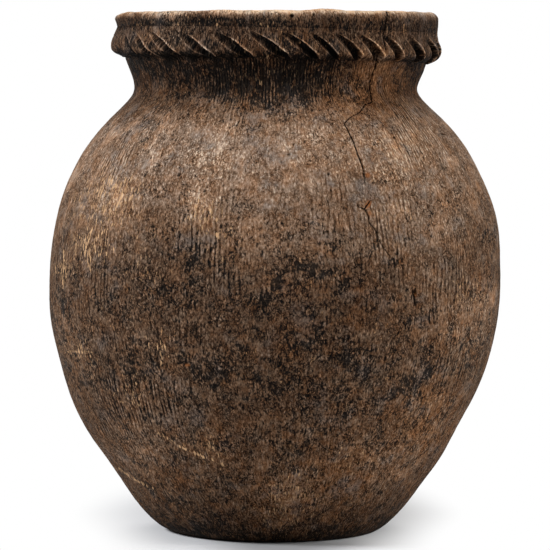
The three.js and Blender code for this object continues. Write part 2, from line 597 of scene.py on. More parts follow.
@dataclass(frozen=True)
class Trace:
    """A thin line through pixels of the photograph."""

    corners: tuple[Pair, ...]  # pixels
    half_width: float  # pixels

    def sides(self, pixels: np.ndarray) -> np.ndarray:
        """Gives the distance of each pixel from the line, negative on one side of it.

        Args:
            pixels: Columns and rows of the photograph.

        Returns:
            Distances in pixels.
        """
        nearest = np.full(len(pixels), np.inf)
        side = np.ones(len(pixels))
        for start, end in zip(self.corners, self.corners[1:]):
            origin = np.array(start)
            step = np.array(end) - origin
            away = pixels - origin
            share = np.clip(away @ step / (step @ step), 0, 1)
            far = np.linalg.norm(away - share[:, None] * step, axis=1)
            turned = np.where(step[0] * away[:, 1] < step[1] * away[:, 0], -1.0, 1.0)
            side = np.where(far < nearest, turned, side)
            nearest = np.minimum(nearest, far)
        return nearest * side


class Weathering:
    """The stains, cracks, chips and dents of the jar, with some painted sheen and shade, laid on as
    attributes of its points.
    """

    BY_HEIGHT = {  # strength of each stain by height in mm
        # From about 334 to 385 mm, round the neck and the band, the wear falls and the soot rises: soot, and
        # partly painted shade under the band
        Stain.WEAR_AND_PAINTED_LIGHT: (
            (0, 0.20), (15, 0.32), (60, 0.38), (130, 0.33), (185, 0.28), (205, 0.33), (225, 0.40),
            (245, 0.49), (275, 0.57), (305, 0.56), (322, 0.42), (334, 0.23), (345, 0.14), (358, 0.12),
            (372, 0.10), (385, 0.11), (388, 0.28), (391, 0.80), (392, 0.90),
        ),
        Stain.SOOT_AND_PAINTED_SHADE: (
            (0, 0.45), (25, 0.20), (60, 0.15), (130, 0.22), (190, 0.16), (232, 0.06), (300, 0.0),
            (322, 0.12), (336, 0.36), (358, 0.48), (372, 0.34), (382, 0.25), (388, 0.10), (392, 0.0),
        ),
        Stain.RUST: (
            (0, 0.24), (60, 0.13), (200, 0.06), (305, 0.0), (334, 0.3), (350, 0.3), (362, 0.13),
            (385, 0.09),
        ),
        Stain.COMBING: (
            (0, 0.15), (60, 0.3), (200, 0.28), (250, 0.2), (320, 0.2), (340, 0.35),
        ),
    }
    BY_PLACE = {  # marks on the side that the photograph shows
        Stain.WEAR_AND_PAINTED_LIGHT: (
            Patch(135, 15, 16, -0.14, 1.4), Patch(196, 16, 9, -0.25, 1.6), Patch(385, 12, 10, 0.12, 4.0),
            Patch(165, 17, 6, 0.25, 4.0), Patch(162, 38, 13, 0.09, 2.4), Patch(285, 9, 12, 0.27, 7.0),
            Patch(262, 24, 8, -0.07, 6.0), Patch(377, 66, 24, 0.3), Patch(350, 92, 18, 0.2),
            Patch(210, 155, 28, 0.16), Patch(145, 160, 36, 0.05), Patch(200, 205, 18, 0.24),
            Patch(112, 203, 20, 0.16), Patch(308, 135, 38, 0.13), Patch(392, 152, 38, 0.14),
            # Patch(487, 297) at the right edge and Patch(65, 330) at the left edge are painted sheen where
            # the wall turns away
            Patch(395, 212, 12, 0.1), Patch(440, 228, 18, 0.1), Patch(487, 297, 22, 0.22),
            Patch(450, 312, 52, 0.13), Patch(470, 335, 22, 0.1), Patch(65, 330, 34, 0.08),
            Patch(110, 395, 50, -0.06), Patch(432, 408, 30, 0.17), Patch(400, 462, 36, 0.13),
            Patch(216, 448, 16, 0.12), Patch(135, 445, 26, 0.1), Patch(350, 472, 26, 0.12),
            Patch(280, 493, 40, 0.16),
        ),
        Stain.SOOT_AND_PAINTED_SHADE: (
            Patch(232, 20, 3, 0.25, 14.0), Patch(150, 22, 5, 0.15, 6.0), Patch(268, 92, 30, 0.2, 1.5),
            Patch(275, 60, 12, -0.12, 4.0), Patch(378, 68, 30, -0.4), Patch(152, 91, 18, -0.22),
            # Patch(131, 72) is painted shade over the light on the neck's left edge
            Patch(131, 72, 10, 0.15, 1.8, 70), Patch(154, 132, 36, 0.11), Patch(278, 285, 7, 0.4, 3.0, -52),
            Patch(318, 272, 9, 0.2, 2.2, 20), Patch(342, 287, 8, 0.2), Patch(390, 262, 6, 0.22, 2.0, 30),
            Patch(312, 258, 42, 0.09), Patch(213, 242, 20, 0.12), Patch(196, 256, 14, 0.18),
            Patch(190, 280, 12, 0.14), Patch(160, 226, 12, 0.09), Patch(76, 270, 12, 0.1),
            Patch(64, 300, 9, 0.12), Patch(486, 240, 9, 0.12), Patch(432, 330, 9, 0.18),
            Patch(420, 370, 15, 0.14), Patch(410, 375, 6, 0.2, 2.5, -60), Patch(350, 350, 11, 0.12),
            Patch(345, 365, 6, 0.12, 2.4, -45), Patch(366, 384, 20, 0.1), Patch(278, 370, 70, 0.06),
            Patch(206, 360, 15, 0.12), Patch(190, 376, 18, 0.11), Patch(226, 376, 12, 0.11),
            Patch(130, 370, 12, 0.1), Patch(210, 440, 18, 0.1), Patch(222, 490, 20, 0.1),
            Patch(290, 455, 26, 0.08),
        ),
        Stain.RUST: (
            Patch(382, 80, 28, 0.4), Patch(350, 95, 22, 0.35), Patch(300, 45, 40, 0.15, 2.0),
            Patch(203, 212, 14, 0.3), Patch(120, 195, 14, 0.25), Patch(372, 160, 40, 0.2),
            Patch(300, 328, 80, 0.2), Patch(366, 300, 22, 0.2), Patch(440, 330, 44, 0.12),
            Patch(480, 290, 20, 0.2), Patch(425, 420, 38, 0.4), Patch(218, 447, 22, 0.35),
            Patch(310, 472, 80, 0.16), Patch(345, 474, 26, 0.3), Patch(272, 500, 30, 0.2),
            Patch(180, 482, 20, 0.2),
        ),
        Stain.COMBING: (
            Patch(262, 70, 60, 0.35), Patch(110, 150, 40, 0.3), Patch(420, 130, 40, 0.5),
            Patch(320, 205, 40, 0.3), Patch(215, 235, 34, 0.5), Patch(110, 250, 50, 0.2),
            Patch(390, 235, 40, 0.5), Patch(440, 290, 45, 0.2), Patch(140, 400, 40, 0.45),
            Patch(455, 390, 36, 0.2), Patch(300, 440, 30, 0.25),
        ),
    }
    CRACKS = (
        Trace(((386, 11), (387.5, 15), (385.5, 22), (383.5, 30), (383, 37), (386, 50)), 0.42),
        Trace(
            ((379, 53), (377, 58), (376, 65), (371.6, 77.5), (369.7, 88), (372.6, 101.8), (365.3, 103.9),
             (360, 112), (351.7, 115.8), (344.5, 122.5), (349.3, 131.8), (354, 142), (358, 154),
             (362, 163.7), (363.7, 170), (365.3, 182.8)), 0.26,
        ),
        Trace(
            ((359, 207), (364.5, 209), (368.5, 216), (369.3, 222.7), (374.8, 229), (378.8, 238.6),
             (382.8, 246.6), (390, 256)), 0.16,
        ),
        Trace(((364.5, 209), (369.5, 202)), 0.4),
        Trace(((413, 290), (414.5, 297), (415.5, 304)), 0.7),
    )
    SCRATCHES = (
        Trace(((158.6, 432.6), (171, 440), (181, 447), (197.5, 454), (224, 465)), 0.5),
        Trace(((118, 467.5), (134.5, 478), (154.4, 487)), 0.4),
        Trace(((161.6, 340), (161.6, 364.6)), 0.4),
        Trace(((69.9, 351), (93, 352)), 0.4),
        Trace(((89.8, 248), (90, 268)), 0.4),
        Trace(((63.7, 251), (63, 288)), 0.4),
        Trace(((133.4, 175), (122.7, 193), (118, 207)), 0.6),
        Trace(((86, 240), (90, 262), (91, 269)), 0.5),
    )
    SCRAPED = (
        Patch(105, 200, 28, 0.75), Patch(90, 245, 20, 0.7), Patch(63, 270, 10, 0.7),
        Patch(120, 190, 14, 0.5), Patch(203, 212, 14, 0.9), Patch(222, 240, 18, 0.45),
        Patch(150, 260, 30, 0.2), Patch(262, 70, 26, 0.16), Patch(400, 220, 20, 0.3),
        Patch(470, 290, 20, 0.3), Patch(160, 350, 14, 0.5), Patch(82, 352, 14, 0.5),
        Patch(132, 390, 16, 0.5), Patch(212, 446, 14, 0.5), Patch(290, 502, 32, 0.42),
        Patch(350, 460, 22, 0.25),
    )
    CHIPS = (
        Patch(368, 175, 3.2, 1.0), Patch(368.5, 204, 3.2, 1.0, 1.6, -60), Patch(187.6, 365, 2.2, 0.8, 1.6),
        Patch(400, 262, 2.0, 0.6), Patch(369.5, 213, 2.4, 0.7, 1.6, 60),
        Patch(416, 295, 2.6, 0.55, 2.2, 95),
    )
    PITS = (
        Patch(328.6, 174, 1.6, 1.0), Patch(394.8, 137, 1.6, 1.0), Patch(441.8, 134, 1.4, 0.8),
        Patch(431.5, 236, 1.4, 0.8), Patch(178.6, 175, 1.5, 0.9), Patch(204.6, 191, 1.4, 0.9),
        Patch(89.7, 389, 1.4, 0.9), Patch(98.9, 309.6, 1.4, 0.9), Patch(292, 15.5, 2.2, 1.6),
        Patch(289, 154, 1.5, 0.7, 2.5, 15), Patch(292, 262, 1.8, 0.8), Patch(415, 292, 1.9, 1.0, 1.6, 100),
    )
    DENTS = (  # millimetres, outward
        Patch(114, 28, 9, -1.8), Patch(112, 42, 24, -2.2), Patch(440, 20, 14, 1.0), Patch(442, 47, 10, 1.6),
        Patch(452, 130, 40, 0.8), Patch(76, 405, 48, 3.2), Patch(462, 428, 32, -1.6),
        Patch(92, 440, 26, 0.9), Patch(148, 512, 40, 3.0), Patch(428, 488, 24, -1.2),
        Patch(326, 9, 15, 1.0), Patch(400, 11, 26, 0.5), Patch(132, 12, 20, 0.7), Patch(50, 325, 34, 1.5),
        Patch(498, 220, 36, 2.0), Patch(422, 73, 14, 2.0), Patch(117, 54, 6, -1.6),
    )
    FACING = (0.02, 0.2)  # how squarely a point faces the photograph, from no marks to full marks
    DRIFT_BY_HEIGHT = ((0, 0), (60, 1), (290, 1), (330, 0))  # where the stains' levels wander
    DRIFT_WAVES = ((9, 3, 0.6), (6, 8, 2.1))  # height in mm, waves round the jar and start
    SCRAPE_LIMIT = 0.66
    SCRATCH = 0.95
    SCRATCH_EDGE = (0.2, 1.4)  # pixels
    PIT_DEPTH = 1.6 * MM
    PIT_EDGE = (0.35, 0.9)
    CHIP_EDGE = (0.3, 0.7)
    CRACK_DEPTH = 0.9 * MM
    CRACK_REACH = 5.0  # pixels
    CRACK_FULL = 2.0  # pixels within which a crack has its full width
    CRACK_EDGE = (0.3, 1.2)  # pixels
    BACK_PATCHES = 54
    BACK_SEED = 41
    BACK_ANGLES = (98, 262)  # degrees from the front
    BACK_RUN = (0.02, 0.98)  # share of the way up the wall
    BACK_STRENGTH = (0.05, 0.16)
    BACK_REACH = (9, 30)  # mm

    def __init__(self, view: PhotoView, outside: WallFace) -> None:
        """Takes the photograph's camera, and the face of the wall that the marks lie on."""
        self.view = view
        self.back = self._back_patches(outside)

    def _back_patches(self, outside: WallFace) -> list[tuple[np.ndarray, float, float, Stain]]:
        """Scatters soft marks over the side that the photograph doesn't show.

        Args:
            outside: The outside of the wall.

        Returns:
            Centre, reach, strength and stain of each mark.
        """
        chance = np.random.default_rng(self.BACK_SEED)
        marks = []
        for number in range(self.BACK_PATCHES):
            angle = math.radians(chance.uniform(*self.BACK_ANGLES))
            run = chance.uniform(*self.BACK_RUN) * outside.run[-1]
            radius, height = (np.interp(run, outside.run, outside.points[:, i]) for i in (0, 1))
            centre = np.array([radius * math.sin(angle), -radius * math.cos(angle), height])
            stain = Stain.SOOT_AND_PAINTED_SHADE if number % 2 else Stain.WEAR_AND_PAINTED_LIGHT
            strength = chance.uniform(*self.BACK_STRENGTH)
            marks.append((centre, chance.uniform(*self.BACK_REACH) * MM, strength, stain))
        return marks

    def lay_on(self, mesh: bpy.types.Mesh) -> None:
        """Stores the weathering on a turned mesh, as attributes of its points.

        Args:
            mesh: A mesh that holds the wall's normals and how much its skin is worked.
        """
        points = read_points(mesh)
        normals = read_attribute(mesh, "wall_normal", 3)
        skin = read_attribute(mesh, "skin", 1)
        pixels = self.view.pixels(points)
        front = smooth_step(self.view.facing(points, normals), *self.FACING) * skin
        angle = np.arctan2(points[:, 0], -points[:, 1])
        height = points[:, 2] / MM
        waves = sum(rise * np.sin(count * angle + start) for rise, count, start in self.DRIFT_WAVES)
        height = height + np.interp(height, *zip(*self.DRIFT_BY_HEIGHT)) * waves
        levels = {stain: np.interp(height, *zip(*steps)) for stain, steps in self.BY_HEIGHT.items()}
        for stain, patches in self.BY_PLACE.items():
            levels[stain] += front * sum(patch.share(pixels) for patch in patches)
        for centre, reach, strength, stain in self.back:
            far = np.linalg.norm(points - centre, axis=1) / reach
            levels[stain] += skin * strength * np.exp(-far * far)
        for stain, level in levels.items():
            write_attribute(mesh, stain.value, level)
        self._cut(mesh, pixels, front, skin)

    def _cut(self, mesh: bpy.types.Mesh, pixels: np.ndarray, front: np.ndarray, skin: np.ndarray) -> None:
        """Stores cracks, chips, pits, pale scratches and dents.

        Args:
            mesh: The mesh to store them on.
            pixels: Pixel of each point.
            front: How far each point faces the photograph.
            skin: How much each point is worked.
        """
        crack_side = np.full(len(pixels), self.CRACK_REACH)
        crack_near = np.zeros(len(pixels))
        for trace in self.CRACKS:
            side = trace.sides(pixels)
            closer = np.abs(side) < np.abs(crack_side)
            crack_side = np.where(closer, side, crack_side)
            near = 1 - smooth_step(np.abs(side), self.CRACK_FULL, self.CRACK_REACH)
            crack_near = np.maximum(crack_near, near * trace.half_width)
        crack = 1 - smooth_step(np.abs(crack_side), *self.CRACK_EDGE)
        scratch = np.min([np.abs(trace.sides(pixels)) - trace.half_width for trace in self.SCRATCHES], axis=0)
        scratch = self.SCRATCH * (1 - smooth_step(scratch, *self.SCRATCH_EDGE))
        scrape = np.minimum(sum(patch.share(pixels) for patch in self.SCRAPED), self.SCRAPE_LIMIT)
        chip, pit = (
            front * np.max([patch.share(pixels) for patch in patches], axis=0)
            for patches in (self.CHIPS, self.PITS)
        )
        dent = skin * sum(patch.share(pixels) for patch in self.DENTS) * MM
        for name, values in (
            ("crack_side", crack_side),
            ("crack_near", front * crack_near),
            ("pit", smooth_step(pit, *self.PIT_EDGE)),
            ("pale", front * np.maximum(scrape, scratch)),
            ("chip", smooth_step(chip, *self.CHIP_EDGE)),
            ("hollow", dent - self.CRACK_DEPTH * front * crack - self.PIT_DEPTH * pit),
        ):
            write_attribute(mesh, name, values)


def read_points(mesh: bpy.types.Mesh) -> np.ndarray:
    """Reads the places of a mesh's points.

    Args:
        mesh: The mesh.

    Returns:
        One place for each point, in metres.
    """
    found = np.empty(len(mesh.vertices) * 3, np.float32)
    mesh.vertices.foreach_get("co", found)
    return found.reshape(-1, 3).astype(float)


def read_attribute(mesh: bpy.types.Mesh, name: str, width: int) -> np.ndarray:
    """Reads a point attribute.

    Args:
        mesh: The mesh that has it.
        name: The attribute's name.
        width: 1 for numbers and 3 for vectors.

    Returns:
        One number or vector for each point.
    """
    found = np.empty(len(mesh.vertices) * width, np.float32)
    mesh.attributes[name].data.foreach_get("value" if width == 1 else "vector", found)
    return found.astype(float) if width == 1 else found.reshape(-1, width).astype(float)


def write_attribute(mesh: bpy.types.Mesh, name: str, values: np.ndarray) -> None:
    """Stores a point attribute.

    Args:
        mesh: The mesh to store it on.
        name: The attribute's name.
        values: One number or vector for each point.
    """
    kind, key = ("FLOAT", "value") if values.ndim == 1 else ("FLOAT_VECTOR", "vector")
    attribute = mesh.attributes.get(name) or mesh.attributes.new(name, kind, "POINT")
    attribute.data.foreach_set(key, np.ascontiguousarray(values, np.float32).ravel())


class ShapeTree(ABC):
    """A node tree that makes a shape."""

    NAME: str
    INPUTS: dict[str, str]

    def __init__(self) -> None:
        """Makes the tree and lays its nodes."""
        self.recipe = NodeRecipe(self.NAME, TreeKind.SHAPE, self.INPUTS, {"Clay": "geometry"})
        self.bench, self.given = self.recipe.bench, self.recipe.given
        self.bench.feed(self.recipe.result["Clay"], self._made())

    @abstractmethod
    def _made(self) -> Socket:
        """Lays the nodes and gives the shape that they make."""

    def apply(self, piece: bpy.types.Object, values: dict[str, Any]) -> bpy.types.Mesh:
        """Runs the tree on a piece.

        Args:
            piece: The object whose mesh goes in.
            values: Values of the tree's inputs, by name.

        Returns:
            What the tree makes, as a new plain mesh.
        """
        modifier = piece.modifiers.new(self.NAME, "NODES")
        modifier.node_group = self.recipe.tree
        for name, value in values.items():
            modifier[self.recipe.names[name]] = value
        bpy.context.view_layer.update()
        graph = bpy.context.evaluated_depsgraph_get()
        made = bpy.data.meshes.new_from_object(
            piece.evaluated_get(graph), preserve_all_data_layers=True, depsgraph=graph
        )
        piece.modifiers.remove(modifier)
        return made

    def _named(self, name: str, kind: str = "FLOAT") -> Socket:
        """Reads an attribute by its name."""
        return self.bench.add("GeometryNodeInputNamedAttribute", {"Name": name}, data_type=kind).outputs[0]

    def _stored(
        self, shape: Socket, name: str, value: Feed, kind: str = "FLOAT", domain: str = "POINT"
    ) -> Socket:
        """Stores an attribute.

        Args:
            shape: The shape to store it on.
            name: The attribute's name.
            value: Its values.
            kind: Their kind.
            domain: What each value belongs to.

        Returns:
            The shape that holds it.
        """
        inputs = {"Geometry": shape, "Name": name, "Value": value}
        node = self.bench.add("GeometryNodeStoreNamedAttribute", inputs, data_type=kind, domain=domain)
        return node.outputs[0]


class SectionTree(ShapeTree):
    """A tree that lays the points of a section round the jar's axis, a row for each."""

    MAP_ROWS = 4.0  # strips that the bake's map lays one over the other
    MAP_STRIP = (0.985, 0.0075)  # share of a strip's height that is used, and the edge left under it
    MAP_LENGTH = (0.99, 0.005)
    SEAM_REACH = 0.01 * MM
    CARRIED = ("skin", "corner", "give")

    def _grid(self) -> tuple[Socket, Socket, Socket]:
        """Lays a grid with a column for each step round the jar and a row for each point of the section.

        Returns:
            The grid with the bake's map on it, the share of the way round, and the row's number.
        """
        bench, given = self.bench, self.given
        sizes = {
            "Size X": 1.0,
            "Size Y": 1.0,
            "Vertices X": bench.math("ADD", given["Columns"], 1.0),
            "Vertices Y": given["Rows"],
        }
        grid = bench.add("GeometryNodeMeshGrid", sizes)
        across, up, _ = bench.parted(bench.add("GeometryNodeInputPosition").outputs[0])
        round_share = bench.math("ADD", across, 0.5)
        last_row = bench.math("SUBTRACT", given["Rows"], 1.0)
        row = bench.math("ROUND", bench.product(bench.math("ADD", up, 0.5), last_row))
        map_across, map_up, _ = bench.parted(grid.outputs[1])
        strips = bench.product(map_across, self.MAP_ROWS)
        middle = bench.add("GeometryNodeFieldOnDomain", {0: strips}, domain="FACE").outputs[0]
        strip = bench.math("FLOOR", middle)
        along = bench.math("MULTIPLY_ADD", bench.math("SUBTRACT", strips, strip), *self.MAP_LENGTH)
        above = bench.math("ADD", strip, bench.math("MULTIPLY_ADD", map_up, *self.MAP_STRIP))
        place = bench.joined(along, bench.math("DIVIDE", above, self.MAP_ROWS), 0.0)
        return self._stored(grid.outputs[0], "OFBake", place, "FLOAT2", "CORNER"), round_share, row

    def _sampled(self, row: Socket, name: str = "", kind: str = "FLOAT") -> Socket:
        """Reads an attribute of the section.

        Args:
            row: The row's number.
            name: The attribute's name, or nothing for the point's own place.
            kind: The attribute's kind.

        Returns:
            Its value at the row.
        """
        if name:
            value = self._named(name, kind)
        else:
            value = self.bench.add("GeometryNodeInputPosition").outputs[0]
        inputs = {"Geometry": self.given["Section"], "Value": value, "Index": row}
        return self.bench.add("GeometryNodeSampleIndex", inputs, data_type=kind, domain="POINT").outputs[0]

    def _swung(self, radius: Feed, height: Feed, angle: Socket) -> Socket:
        """Swings a radius and a height round the jar's axis.

        Args:
            radius: The radius.
            height: The height.
            angle: 0 at the front, growing to the right.

        Returns:
            The place that they come to.
        """
        across = self.bench.product(radius, self.bench.math("SINE", angle))
        ahead = self.bench.product(radius, self.bench.math("COSINE", angle), -1.0)
        return self.bench.joined(across, ahead, height)

    def _told(self, shape: Socket, row: Socket, angle: Socket) -> Socket:
        """Stores what the later steps need of each point.

        Args:
            shape: The grid.
            row: The row's number.
            angle: How far round the jar the point lies.

        Returns:
            The grid with the point's place on the wall, its normal and the section's own attributes.
        """
        outward, _, upward = self.bench.parted(self._sampled(row, "face", "FLOAT_VECTOR"))
        place = self._swung(PLACE_RADIUS, self._sampled(row, "up_wall"), angle)
        shape = self._stored(shape, "wall_place", place, "FLOAT_VECTOR")
        shape = self._stored(shape, "wall_normal", self._swung(outward, upward, angle), "FLOAT_VECTOR")
        for name in self.CARRIED:
            shape = self._stored(shape, name, self._sampled(row, name))
        return shape

    def _closed(self, shape: Socket, points: Socket) -> Socket:
        """Makes a ring of a grid.

        Args:
            shape: The grid.
            points: Where its points go.

        Returns:
            The ring, with closed seams and the tree's finish.
        """
        bench = self.bench
        shape = bench.add("GeometryNodeSetPosition", {"Geometry": shape, "Position": points}).outputs[0]
        merge = bench.add("GeometryNodeMergeByDistance", {"Geometry": shape, "Distance": self.SEAM_REACH})
        shape = bench.add("GeometryNodeRealizeInstances", {"Geometry": merge.outputs[0]}).outputs[0]
        finish = {"Geometry": shape, "Material": self.given["Finish"]}
        return bench.add("GeometryNodeSetMaterial", finish).outputs[0]


class TurnedWall(SectionTree):
    """The tree that turns a section round the axis."""

    NAME = "turned_wall"
    INPUTS = {"Section": "geometry", "Columns": "count", "Rows": "count", "Finish": "material"}
    FRONT_FINENESS = 0.32  # how much closer the columns stand at the front than on average

    def _made(self) -> Socket:
        """Lays the nodes.

        Returns:
            The wall.
        """
        bench = self.bench
        shape, share, row = self._grid()
        turn = bench.product(share, math.tau)
        closer = bench.product(bench.math("SINE", turn), self.FRONT_FINENESS)
        angle = bench.math("SUBTRACT", bench.math("ADD", turn, closer), math.pi)
        radius, _, height = bench.parted(self._sampled(row, kind="FLOAT_VECTOR"))
        return self._closed(self._told(shape, row, angle), self._swung(radius, height, angle))


class RopeTwist(SectionTree):
    """The tree that lays the band on the wall and presses its slanting gouges."""

    NAME = "rope_twist"
    NUMBERS = (
        "Gouge Depth", "Gouge Width", "Gouge Start", "Slant", "First Gouge", "Drift", "Drift Waves",
        "Drift Start", "Tilt", "Gouge Floor", "Lobe Fall", "Seed",
    )
    INPUTS = {
        "Section": "geometry",
        **dict.fromkeys(("Columns", "Rows", "Gouges"), "count"),
        **dict.fromkeys(NUMBERS, "number"),
        "Finish": "material",
    }
    NUDGE = 1e-4  # keeps a column between two gouges on one side of the line
    WIDTHS = (0.4, 0.8)  # what chance adds to a gouge's width, and the least share of it
    DEPTHS = (0.55, 0.6)  # the same for its depth
    LATER = 0.1  # what chance adds to its start
    TOP_WIDTH = (0.0, 0.45, 0.4, 1.0)
    FOOT_WIDTH = (0.65, 1.0, 1.0, 0.5)
    WORN_OFF = (-0.92, -0.68, 0.16, 1.0)  # depth left by the sine of the angle: the left is worn off
    STEEP_SIDE = (0.0, 0.4)
    FAR_SIDE = (0.8, 1.0, 1.0, 0.0)
    BEGINNING = 0.2  # share of the way down in which a gouge comes to its depth
    FOOT_DEPTH = (0.8, 1.0, 1.0, 0.3)
    LONGEST_AT = 0.4  # radians to the left, where the gouges slant most
    LENGTHS = (0.7, 1.0, 1.05, 1.4)
    RIM_UP = (0.98, 1.06)
    RIM_DOWN = (1.06, 1.3, 0.0, -1.0)
    NEAR_RIM = (0.0, 0.1, 0.5, 0.0)

    def _counted(self, share: Socket) -> tuple[Socket, tuple[Socket, Socket, Socket]]:
        """Counts the gouges round the band and draws three chances for each.

        Args:
            share: The share of the way round.

        Returns:
            The share of the way from one gouge to the next, and the chances, from 0 to 1.
        """
        bench, gouges = self.bench, self.given["Gouges"]
        count = bench.math("ADD", bench.product(share, gouges), self.NUDGE)
        number = bench.math("FLOOR", bench.math("MODULO", count, gouges))
        draw = {"W": bench.math("ADD", number, self.given["Seed"])}
        chance = bench.add("ShaderNodeTexWhiteNoise", draw, noise_dimensions="1D")
        return bench.math("FRACT", count), bench.parted(chance.outputs[1])

    def _thickness(self, row: Socket, phase: Socket, width: Socket, begun: Socket, cut: Socket) -> Socket:
        """Gives the thickness that the gouges leave.

        Args:
            row: The row's number.
            phase: The share of the way from one gouge to the next.
            width: The gouge's share of that way.
            begun: 0 above the gouge's start and 1 below it.
            cut: The depth of the gouge.

        Returns:
            The band's thickness.
        """
        bench, given = self.bench, self.given
        past = bench.math("DIVIDE", bench.math("SUBTRACT", phase, width), bench.math("SUBTRACT", 1.0, width))
        fall = bench.product(bench.math("MAXIMUM", past, bench.math("LESS_THAN", phase, width)), begun)
        full = bench.math("SUBTRACT", self._sampled(row, "full"), bench.product(fall, given["Lobe Fall"]))
        least = bench.math("MINIMUM", full, given["Gouge Floor"])
        return bench.math("MAXIMUM", bench.math("SUBTRACT", full, cut), least)

    def _angle(self, even: Socket, down: Socket) -> Socket:
        """Slants the columns along the gouges, which stray from even places.

        Args:
            even: The angle of an even column.
            down: The share of the way down the band.

        Returns:
            How far round the jar the point lies.
        """
        bench, given = self.bench, self.given
        turn = bench.product(bench.math("SUBTRACT", even, given["Drift Start"]), given["Drift Waves"])
        longer = bench.eased(bench.math("COSINE", bench.math("ADD", even, self.LONGEST_AT)), *self.LENGTHS)
        slanted = bench.product(given["Slant"], bench.math("SUBTRACT", down, 0.5), longer)
        angle = bench.summed(even, (bench.math("SINE", turn), given["Drift"]))
        return bench.math("ADD", angle, slanted)

    def _made(self) -> Socket:
        """Lays the nodes.

        Returns:
            The band.
        """
        bench, given = self.bench, self.given
        shape, share, row = self._grid()
        down, outer = self._sampled(row, "down"), self._sampled(row, "skin")
        even = bench.math("MULTIPLY_ADD", share, math.tau, given["First Gouge"])
        phase, (wide, deep, late) = self._counted(share)
        width = bench.product(
            given["Gouge Width"],
            bench.math("MULTIPLY_ADD", wide, *self.WIDTHS),
            bench.eased(down, *self.TOP_WIDTH),
            bench.eased(down, *self.FOOT_WIDTH),
        )
        across = bench.math("DIVIDE", phase, width)
        start = bench.summed(given["Gouge Start"], (late, self.LATER))
        begun = bench.eased(down, start, bench.math("ADD", start, self.BEGINNING))
        gouge = bench.product(
            bench.eased(across, *self.STEEP_SIDE),
            bench.eased(across, *self.FAR_SIDE),
            begun,
            bench.eased(down, *self.FOOT_DEPTH),
        )
        worn_off = bench.eased(bench.math("SINE", even), *self.WORN_OFF)
        depth = bench.product(given["Gouge Depth"], bench.math("MULTIPLY_ADD", deep, *self.DEPTHS), worn_off)
        thick = self._thickness(row, phase, width, begun, bench.product(depth, gouge))

        angle = self._angle(even, down)
        offset = bench.product(thick, outer)
        droop = bench.product(bench.math("SINE", angle), given["Tilt"])
        outward, _, upward = bench.parted(self._sampled(row, "face", "FLOAT_VECTOR"))
        radius, _, height = bench.parted(self._sampled(row, kind="FLOAT_VECTOR"))
        radius = bench.summed(radius, (outward, offset), (upward, droop))
        height = bench.math("SUBTRACT", bench.summed(height, (upward, offset)), bench.product(outward, droop))

        # the rim is the edge of each lobe, which the band's weathering lightens with wear and a painted
        # highlight
        rim = bench.math("ADD", bench.eased(across, *self.RIM_UP), bench.eased(across, *self.RIM_DOWN))
        rim = bench.math("ADD", rim, bench.eased(across, *self.NEAR_RIM))
        shape = self._told(shape, row, angle)
        # the gouge mask, by which the band's weathering paints shade into the gouges
        shape = self._stored(shape, "gouge", bench.product(gouge, outer))
        shape = self._stored(shape, "rim", bench.product(rim, begun, worn_off, outer))
        shape = self._stored(shape, "down", down)
        return self._closed(shape, self._swung(radius, height, angle))


